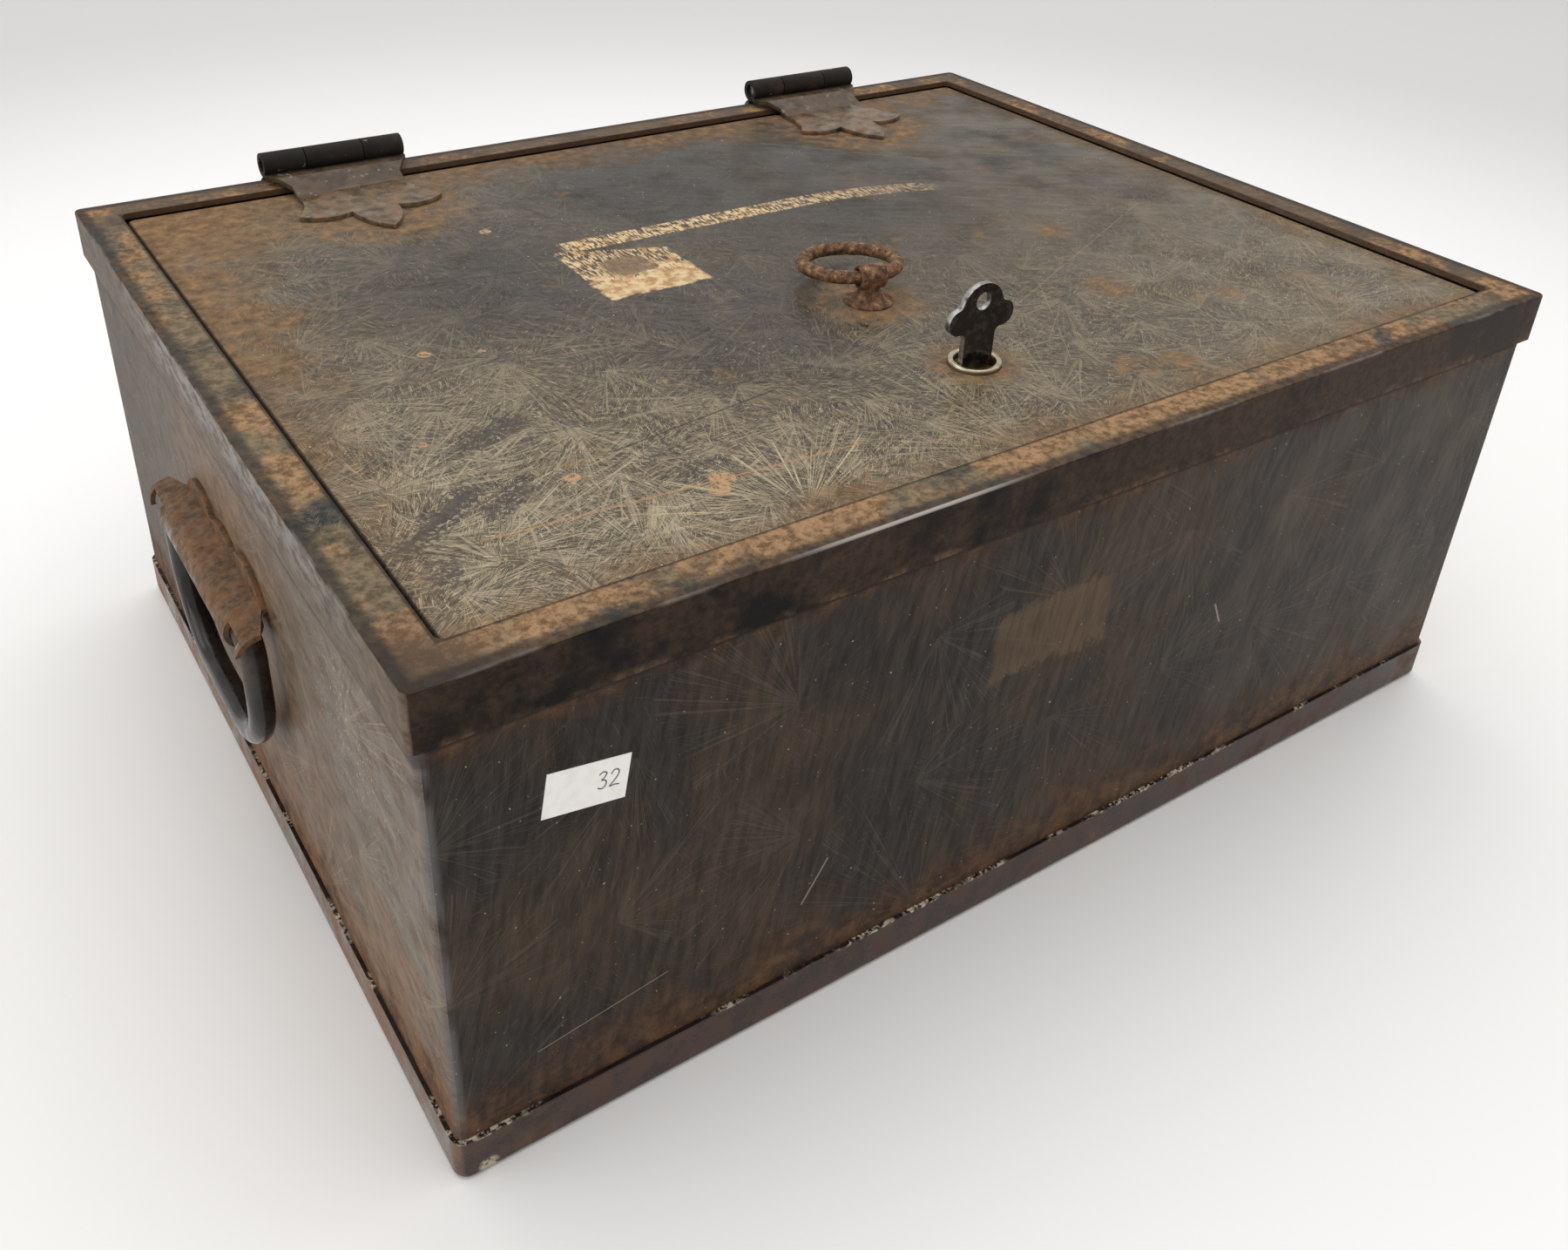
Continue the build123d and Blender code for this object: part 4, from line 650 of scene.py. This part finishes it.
# The hinges: each is two leaves of thick sheet rolled round a pin.
# The lid leaf is cranked down to the lid and cut to three pointed lobes, and both are spot welded.

def soften(radius, *names):
    """Rounds a cut sheet's edges by a little, as years of handling do."""
    for name in names:
        weld = steel[name].modifiers.new("joined corners", "WELD")
        weld.merge_threshold = 0.002 * MM
        edge = steel[name].modifiers.new("worn edges", "BEVEL")
        edge.width = radius * MM
        edge.segments = 2
        edge.limit_method = "ANGLE"
        edge.angle_limit = math.radians(40)
        edge.harden_normals = True


CRANK_Y, BARREL_Y = (126.0, 140.0), (145.0, 149.0)
LEAF_PAINT = (0.052, 0.036, 0.021), (0.195, 0.134, 0.076)
LEAF_RUST = (0.090, 0.040, 0.020), (0.260, 0.140, 0.065)
BARREL_PAINT = (0.006, 0.005, 0.004), (0.028, 0.016, 0.010)
leaf = Finish("hinge_worn_paint", roughness=0.45, specular=0.25)
rough_paint = leaf.cloud(leaf.place, 6.0, 5.0, 0.62)
tone = leaf.mix(leaf.rise(rough_paint, 0.32, 0.66), *LEAF_PAINT)
leaf_rust = leaf.times(leaf.patches(leaf.place, 9.0, 0.46, 0.62), 0.7)
tone = leaf.mix(leaf_rust, tone, leaf.mix(rough_paint, *LEAF_RUST))
crank = leaf.rise(leaf.shifted(leaf.y, rough_paint, 8.0), *CRANK_Y)
tone = leaf.mix(leaf.times(crank, 0.65), tone, (0.040, 0.025, 0.015))
barrel = leaf.rise(leaf.y, *BARREL_Y)
barrel_paint = leaf.mix(leaf.patches(leaf.place, 8.0, 0.5, 0.7), *BARREL_PAINT)
tone = leaf.mix(leaf.times(barrel, 0.93), tone, barrel_paint)
dent = leaf.rise(leaf.cloud(leaf.place, 3.5, 1.0), 0.68, 0.74)
tone = leaf.mix(leaf.times(dent, 0.5), tone, (0.26, 0.23, 0.20))
leaf.bump(leaf.cloud(leaf.place, 2.0, 5.0, 0.65), 0.08)
dull = leaf.rise(leaf.cloud(leaf.place, 5.0, 3.0), 0.2, 0.9, 0.75)
hinge_paint = leaf.done(tone, leaf.blend(barrel, dull, 0.72))
for name in SIDES:
    dress(hinge_paint, "hinge_lid_leaf_" + name, "hinge_rear_leaf_" + name)
    soften(0.35, "hinge_lid_leaf_" + name, "hinge_rear_leaf_" + name)

OILED_STEEL = (0.30, 0.29, 0.28), (0.17, 0.15, 0.13)
bare = Finish("bare_oiled_steel", roughness=0.34, metallic=1.0)
tone = bare.mix(bare.patches(bare.place, 6.0, 0.4, 0.7), *OILED_STEEL)
bare.bump(bare.cloud(bare.place, 0.6, 2.0), 0.01)
oiled_steel = bare.done(tone)
dress(oiled_steel, *["hinge_pin_" + name for name in SIDES])


# The pull ring and its stud: a welded ring of round bar in the eye of a flared stud,
# which is riveted over a washer under the lid. Both are pitted and furred with rust.

STUD_Y, EYE_Z = STUD_AT[1], 168.8
EYE_R, EYE_HALF, EYE_BORE = 4.1, 4.5, 2.82
RING_R, WIRE_R = 15.75, 2.25
RING_TURN, RING_TILT, RING_OUT = math.radians(-11), math.radians(-5), 15.42
STUD_PROFILE = [
    (0.0, -4.6), (3.2, -4.6), (4.1, -4.2), (4.1, -3.6), (3.6, -3.4), (2.5, -3.4), (2.5, -0.1), (7.9, -0.05),
    (8.2, 0.25), (8.1, 0.8), (7.2, 1.15), (6.1, 1.45), (5.1, 2.0), (4.4, 2.7), (3.9, 3.5), (3.55, 4.4),
    (3.45, 5.4), (3.5, 6.4), (3.6, 7.6),
]
EYE_PROFILE = [
    (EYE_BORE, -EYE_HALF), (EYE_R - 0.5, -EYE_HALF), (EYE_R, -EYE_HALF + 0.5), (EYE_R, EYE_HALF - 0.5),
    (EYE_R - 0.5, EYE_HALF), (EYE_BORE, EYE_HALF), (EYE_BORE, -EYE_HALF),
]


def pitted(mesh, deep, grain):
    """Moves each point in or out a little, as rust pits do."""
    mesh.normal_update()
    for point in mesh.verts:
        lump = noise.noise(point.co / (grain * MM)) + 0.5 * noise.noise(point.co / (0.4 * grain * MM))
        point.co += point.normal * (min(lump, 0.0) * deep + max(lump, 0.0) * 0.3 * deep) * MM


def made(name, mesh, material, body, place=Matrix.Identity(4), smooth=True):
    """Turns mesh code into a piece that rides on a body."""
    mesh.transform(place)
    data = bpy.data.meshes.new(name)
    mesh.to_mesh(data)
    mesh.free()
    piece = bpy.data.objects.new(name, data)
    bpy.context.scene.collection.objects.link(piece)
    piece.data.materials.append(material)
    for face in piece.data.polygons:
        face.use_smooth = smooth
    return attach(piece, body)


def ring_mesh(radius, wire, around=160, across=28):
    """A closed ring of round wire about Z."""
    mesh = bmesh.new()
    loops = []
    for i in range(around):
        a = 2 * math.pi * i / around
        loop = []
        for j in range(across):
            b = 2 * math.pi * j / across
            out = (radius + wire * math.cos(b)) * MM
            loop.append(mesh.verts.new((out * math.cos(a), out * math.sin(a), wire * math.sin(b) * MM)))
        loops.append(loop)
    for i in range(around):
        for j in range(across):
            near, far = loops[i], loops[(i + 1) % around]
            k = (j + 1) % across
            mesh.faces.new((near[j], far[j], far[k], near[k]))
    return mesh


def turned(profile, steps=48, pieces=3):
    """A solid turned about Z from a profile of (radius, height), closed at both ends."""
    fine = []
    for (r0, z0), (r1, z1) in zip(profile, profile[1:]):
        fine += [(r0 + (r1 - r0) * t / pieces, z0 + (z1 - z0) * t / pieces) for t in range(pieces)]
    fine.append(profile[-1])
    turns = [(math.cos(2 * math.pi * k / steps), math.sin(2 * math.pi * k / steps)) for k in range(steps)]
    mesh = bmesh.new()
    loops = []
    for radius, height in fine:
        if radius < 0.01:
            loops.append([mesh.verts.new((0, 0, height * MM))])
        else:
            loops.append([mesh.verts.new((radius * c * MM, radius * s * MM, height * MM)) for c, s in turns])
    for low, high in zip(loops, loops[1:]):
        for k in range(steps):
            n = (k + 1) % steps
            if len(low) == 1:
                mesh.faces.new((low[0], high[n], high[k]))
            elif len(high) == 1:
                mesh.faces.new((low[k], low[n], high[0]))
            else:
                mesh.faces.new((low[k], low[n], high[n], high[k]))
    if len(loops[-1]) > 1:
        mesh.faces.new(loops[-1])
    return mesh


RING_RUST, RING_ORANGE = ((0.052, 0.025, 0.013), (0.215, 0.105, 0.046)), (0.440, 0.245, 0.110)
rusty = Finish("ring_heavy_rust", roughness=0.8)
crust = rusty.cloud(rusty.place, 2.4, 5.0, 0.7)
tone = rusty.mix(rusty.rise(crust, 0.36, 0.6), *RING_RUST)
tone = rusty.mix(rusty.rise(crust, 0.54, 0.70), tone, RING_ORANGE)
rusty.bump(rusty.maths("ADD", crust, rusty.cloud(rusty.place, 0.6, 3.0, 0.6)), 0.35)
heavy_rust = rusty.done(tone)

eye_place = Matrix.Translation((0, STUD_Y * MM, EYE_Z * MM)) @ Matrix.Rotation(RING_TURN, 4, "Z")
ring = ring_mesh(RING_R, WIRE_R)
pitted(ring, 0.28, 2.2)
lying = eye_place @ Matrix.Rotation(RING_TILT, 4, "X") @ Matrix.Translation((0, RING_OUT * MM, 0))
ring = made("rusty_pull_ring", ring, heavy_rust, "ring", lying)
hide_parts("pull_ring")

stud = turned(STUD_PROFILE)
pitted(stud, 0.22, 2.6)
stud = made("rusty_stud", stud, heavy_rust, "lid", Matrix.Translation((0, STUD_Y * MM, LID_TOP * MM)))
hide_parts("ring_stud")

eye = turned(EYE_PROFILE, 40, 4)
bmesh.ops.delete(eye, geom=[face for face in eye.faces if len(face.verts) > 4], context="FACES_ONLY")
bmesh.ops.remove_doubles(eye, verts=eye.verts, dist=0.001 * MM)
pitted(eye, 0.15, 2.0)
eye = made("rusty_eye", eye, heavy_rust, "lid", eye_place @ Matrix.Rotation(math.pi / 2, 4, "Y"))
dress(plain_inside, "stud_washer")


# The lock: a folded case under the lid, with a cylinder through the plate.
# The plug turns in the cylinder and its cam drives the bolt. Cylinder, plug and wafers are brass,
# the rest is steel.

BRASS = (0.52, 0.38, 0.17), (0.30, 0.21, 0.10)
brass = Finish("turned_brass", roughness=0.32, metallic=1.0)
tone = brass.mix(brass.patches(brass.place, 5.0, 0.4, 0.7), *BRASS)
brass.bump(brass.cloud(brass.place, 0.5, 2.0), 0.01)
dress(brass.done(tone), "lock_cylinder", "lock_plug", "lock_wafers")
dress(oiled_steel, "lock_cam", "lock_bolt", "lock_pillars", "cover_screws")
dress(plain_inside, "lock_case", "lock_cover")


# The keyhole collar: a ring spun from sheet brass, pressed on round the cylinder.
# Its rim is rubbed bright, and dirt sits where it meets the lid.

RUBBED_BRASS = (0.54, 0.47, 0.34), (0.36, 0.29, 0.19)
rim = Finish("rubbed_collar", roughness=0.28, metallic=1.0)
tone = rim.mix(rim.patches(rim.place, 3.0, 0.4, 0.7), *RUBBED_BRASS)
dirt = rim.shifted(rim.z, rim.cloud(rim.place, 1.5, 3.0), 0.9)
dirt = rim.rise(dirt, LID_TOP + 1.4, LID_TOP + 0.6)
tone = rim.mix(rim.times(dirt, 0.85), tone, (0.055, 0.032, 0.020))
rim.bump(rim.cloud(rim.place, 1.0, 3.0), 0.03)
dress(rim.done(tone, rim.blend(dirt, 0.26, 0.8)), "keyhole_collar")


# The key: cut from flat plate, blackened, with a three-lobed bow and one hole.
# Its edges are rubbed to bright steel.

BLACKENED, RUBBED_EDGE = ((0.050, 0.046, 0.044), (0.110, 0.100, 0.092)), (0.38, 0.37, 0.36)
black = Finish("blackened_key", roughness=0.3, metallic=0.85)
tone = black.mix(black.patches(black.place, 3.0, 0.45, 0.7), *BLACKENED)
rubbed = black.times(black.rise(black.facing[1], 0.9, 0.5), black.patches(black.place, 4.0, 0.35, 0.55))
tone = black.mix(rubbed, tone, RUBBED_EDGE)
black.bump(black.cloud(black.place, 1.3, 4.0, 0.6), 0.06)
dress(black.done(tone, black.rise(black.cloud(black.place, 2.0, 3.0), 0.2, 0.9, 0.6)), "key")
soften(0.3, "key")


# The side handles: a plate of sheet, cut with a wavy top and rolled into a tube along its foot,
# spot welded to the wall, and a drop bail of round bar whose ends turn in the roll.

PLATE_BROWN = (0.062, 0.036, 0.019), (0.175, 0.098, 0.046)
PLATE_RUST = (0.105, 0.046, 0.018), (0.310, 0.155, 0.062)
roof = Finish("handle_plate_rust", roughness=0.7, specular=0.3)
grain = roof.cloud(roof.place, 2.2, 5.0, 0.7)
tone = roof.mix(roof.rise(grain, 0.32, 0.66), *PLATE_BROWN)
streak = roof.patches(roof.vector("MULTIPLY", roof.place, (1.0, 1.0, 0.25)), 6.0, 0.42, 0.62)
tone = roof.mix(roof.times(streak, 0.7), tone, roof.mix(grain, *PLATE_RUST))
# The lower part of the plate, round the underside of the roll, is painted darker as shade.
underside_shade = roof.rise(roof.shifted(roof.z, roof.cloud(roof.place, 6.0, 4.0), 4.0), 106.0, 101.0)
tone = roof.mix(roof.times(underside_shade, 0.6), tone, (0.040, 0.030, 0.024))
scored = roof.cloud(roof.vector("MULTIPLY", roof.place, (0.15, 1.6, 0.15)), 1.0, 2.0)
scored = roof.rise(scored, 0.62, 0.7)
tone = roof.mix(roof.times(scored, 0.5), tone, (0.035, 0.020, 0.014))
roof.bump(roof.shifted(roof.cloud(roof.place, 1.6, 5.0, 0.65), scored, -0.6), 0.12)
plate_rust = roof.done(tone, roof.rise(roof.cloud(roof.place, 4.0, 3.0), 0.1, 0.8, 0.85))

BAIL_DARK = (0.011, 0.010, 0.010), (0.030, 0.025, 0.022)
bar = Finish("bail_dark_steel", roughness=0.26, metallic=0.3, specular=0.6)
tone = bar.mix(bar.patches(bar.place, 12.0, 0.4, 0.7), *BAIL_DARK)
worn_top = bar.times(bar.rise(bar.z, 82.0, 98.0), bar.patches(bar.place, 7.0, 0.35, 0.6))
rust_spots = bar.patches(bar.place, 8.0, 0.62, 0.72)
bar_rust = bar.either(bar.times(rust_spots, 0.4), bar.times(worn_top, 0.7))
tone = bar.mix(bar_rust, tone, (0.095, 0.055, 0.030))
bar.bump(bar.cloud(bar.place, 1.6, 4.0, 0.6), 0.04)
dull = bar.rise(bar.cloud(bar.place, 6.0, 3.0), 0.1, 1.0, 0.5)
bail_steel = bar.done(tone, bar.blend(bar_rust, dull, 0.75))
for name in SIDES:
    dress(plate_rust, "handle_plate_" + name)
    dress(bail_steel, "handle_bail_" + name)
    soften(0.3, "handle_plate_" + name)


# The price label: a small white paper sticker, put on by hand a little askew,
# with a plain number written on it in pencil.

LABEL_WHITE = (0.95, 0.93, 0.90), (0.88, 0.86, 0.82)
PENCIL_GREY = (0.08, 0.08, 0.085), (0.16, 0.16, 0.17)
paper = Finish("label_white_paper", roughness=0.75)
tone = paper.mix(paper.patches(paper.place, 3.0, 0.4, 0.7), *LABEL_WHITE)
paper.bump(paper.cloud(paper.place, 0.4, 3.0), 0.01)
dress(paper.done(tone), "paper_label")

LABEL_MIDDLE = (-161.9, -153.66, 116.4)
LABEL_TILT = math.radians(9)
STROKES = [
    [(3.0, 2.2), (3.9, 2.9), (4.9, 2.4), (4.5, 1.2), (3.8, 0.6), (4.9, 0.2), (5.1, -1.0), (4.2, -2.0),
     (3.0, -1.6)],
    [(6.2, 1.6), (6.9, 2.7), (8.0, 2.5), (8.2, 1.2), (7.3, -0.4), (6.2, -1.9), (7.4, -1.7), (8.8, -1.9)],
]
PEN = 0.2


def curve_through(points, steps=8):
    """A smooth line through given points."""
    def between(p, q, r, s, t):
        steady = 2 * q + (r - p) * t
        bend = (2 * p - 5 * q + 4 * r - s) * t * t + (3 * q - p - 3 * r + s) * t ** 3
        return 0.5 * (steady + bend)

    held = [points[0], *points, points[-1]]
    line = []
    for near in zip(held, held[1:], held[2:], held[3:]):
        for k in range(steps):
            line.append(tuple(between(*part, k / steps) for part in zip(*near)))
    return [*line, points[-1]]


pencil = Finish("pencil_grey", roughness=0.5)
tone = pencil.mix(pencil.patches(pencil.place, 0.6, 0.4, 0.6), *PENCIL_GREY)
mark = bmesh.new()
for stroke in STROKES:
    line = curve_through(stroke)
    rails = []
    for k, (u, v) in enumerate(line):
        ahead, behind = line[min(k + 1, len(line) - 1)], line[max(k - 1, 0)]
        along = Vector((ahead[0] - behind[0], ahead[1] - behind[1])).normalized() * PEN
        for sign in (-1, 1):
            rails.append(mark.verts.new(((u - sign * along.y) * MM, 0, (v + sign * along.x) * MM)))
    for k in range(0, len(rails) - 2, 2):
        mark.faces.new((rails[k], rails[k + 1], rails[k + 3], rails[k + 2]))
label_place = Matrix.Translation(Vector(LABEL_MIDDLE) * MM) @ Matrix.Rotation(LABEL_TILT, 4, "Y")
number = made("label_number", mark, pencil.done(tone), "box", label_place, False)


# The floor that the box stands on, the soft light round it, and the camera,
# which looks down on the front left corner as in the photograph.

FLOOR_HALF, FLOOR_DROP = 3.0, 0.0002
NEAR_FLOOR, FAR_FLOOR_SHADE = (0.940, 0.932, 0.920), (0.640, 0.640, 0.636)
floor_mesh = bmesh.new()
bmesh.ops.create_grid(floor_mesh, x_segments=2, y_segments=2, size=FLOOR_HALF)
data = bpy.data.meshes.new("floor")
floor_mesh.to_mesh(data)
floor_mesh.free()
floor = bpy.data.objects.new("floor", data)
floor.location.z = -FLOOR_DROP
bpy.context.scene.collection.objects.link(floor)
board = Finish("floor_white", roughness=0.45)
# The floor is white near the box and painted greyer further off, as painted shade where the light falls off.
from_box = board.rise(board.length(board.place), 450.0, 1100.0)
floor.data.materials.append(board.done(board.mix(from_box, NEAR_FLOOR, FAR_FLOOR_SHADE)))
floor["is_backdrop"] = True

ROOM_COLOUR, ROOM_LIGHT = (1.0, 0.990, 0.975, 1), 0.68
OVERHEAD_WATTS, LEFT_WATTS = 29, 6
room = bpy.data.worlds.new("room")
room.use_nodes = True
room.node_tree.nodes["Background"].inputs["Color"].default_value = ROOM_COLOUR
room.node_tree.nodes["Background"].inputs["Strength"].default_value = ROOM_LIGHT
bpy.context.scene.world = room
bpy.context.scene.view_settings.view_transform = "Standard"


def softbox(name, spot, aim, size, watts):
    light = bpy.data.lights.new(name, "AREA")
    light.shape = "RECTANGLE"
    light.size, light.size_y = size
    light.energy = watts
    holder = bpy.data.objects.new(name, light)
    holder.location = spot
    holder.rotation_euler = (Vector(aim) - Vector(spot)).to_track_quat("-Z", "Y").to_euler()
    bpy.context.scene.collection.objects.link(holder)


softbox("overhead", (0.3, 0.3, 2.0), (0.0, 0.1, 0.0), (3.0, 3.0), OVERHEAD_WATTS)
softbox("left", (-1.7, 0.3, 0.8), (0.0, 0.0, 0.1), (1.4, 1.0), LEFT_WATTS)

SENSOR, LENS, LENS_SHIFT = 36.0, 32.7355, (0.0205, -0.11)
CAMERA_AT, CAMERA_TURN = (-0.27188, -0.37566, 0.34837), (59.9777, -1.8952, -33.3823)
camera_data = bpy.data.cameras.new("camera")
camera_data.sensor_width = SENSOR
camera_data.lens = LENS
camera_data.shift_x, camera_data.shift_y = LENS_SHIFT
camera_data.dof.use_dof = False
camera = bpy.data.objects.new("camera", camera_data)
camera.location = CAMERA_AT
camera.rotation_euler = [math.radians(angle) for angle in CAMERA_TURN]
bpy.context.scene.collection.objects.link(camera)
bpy.context.scene.camera = camera

low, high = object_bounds()
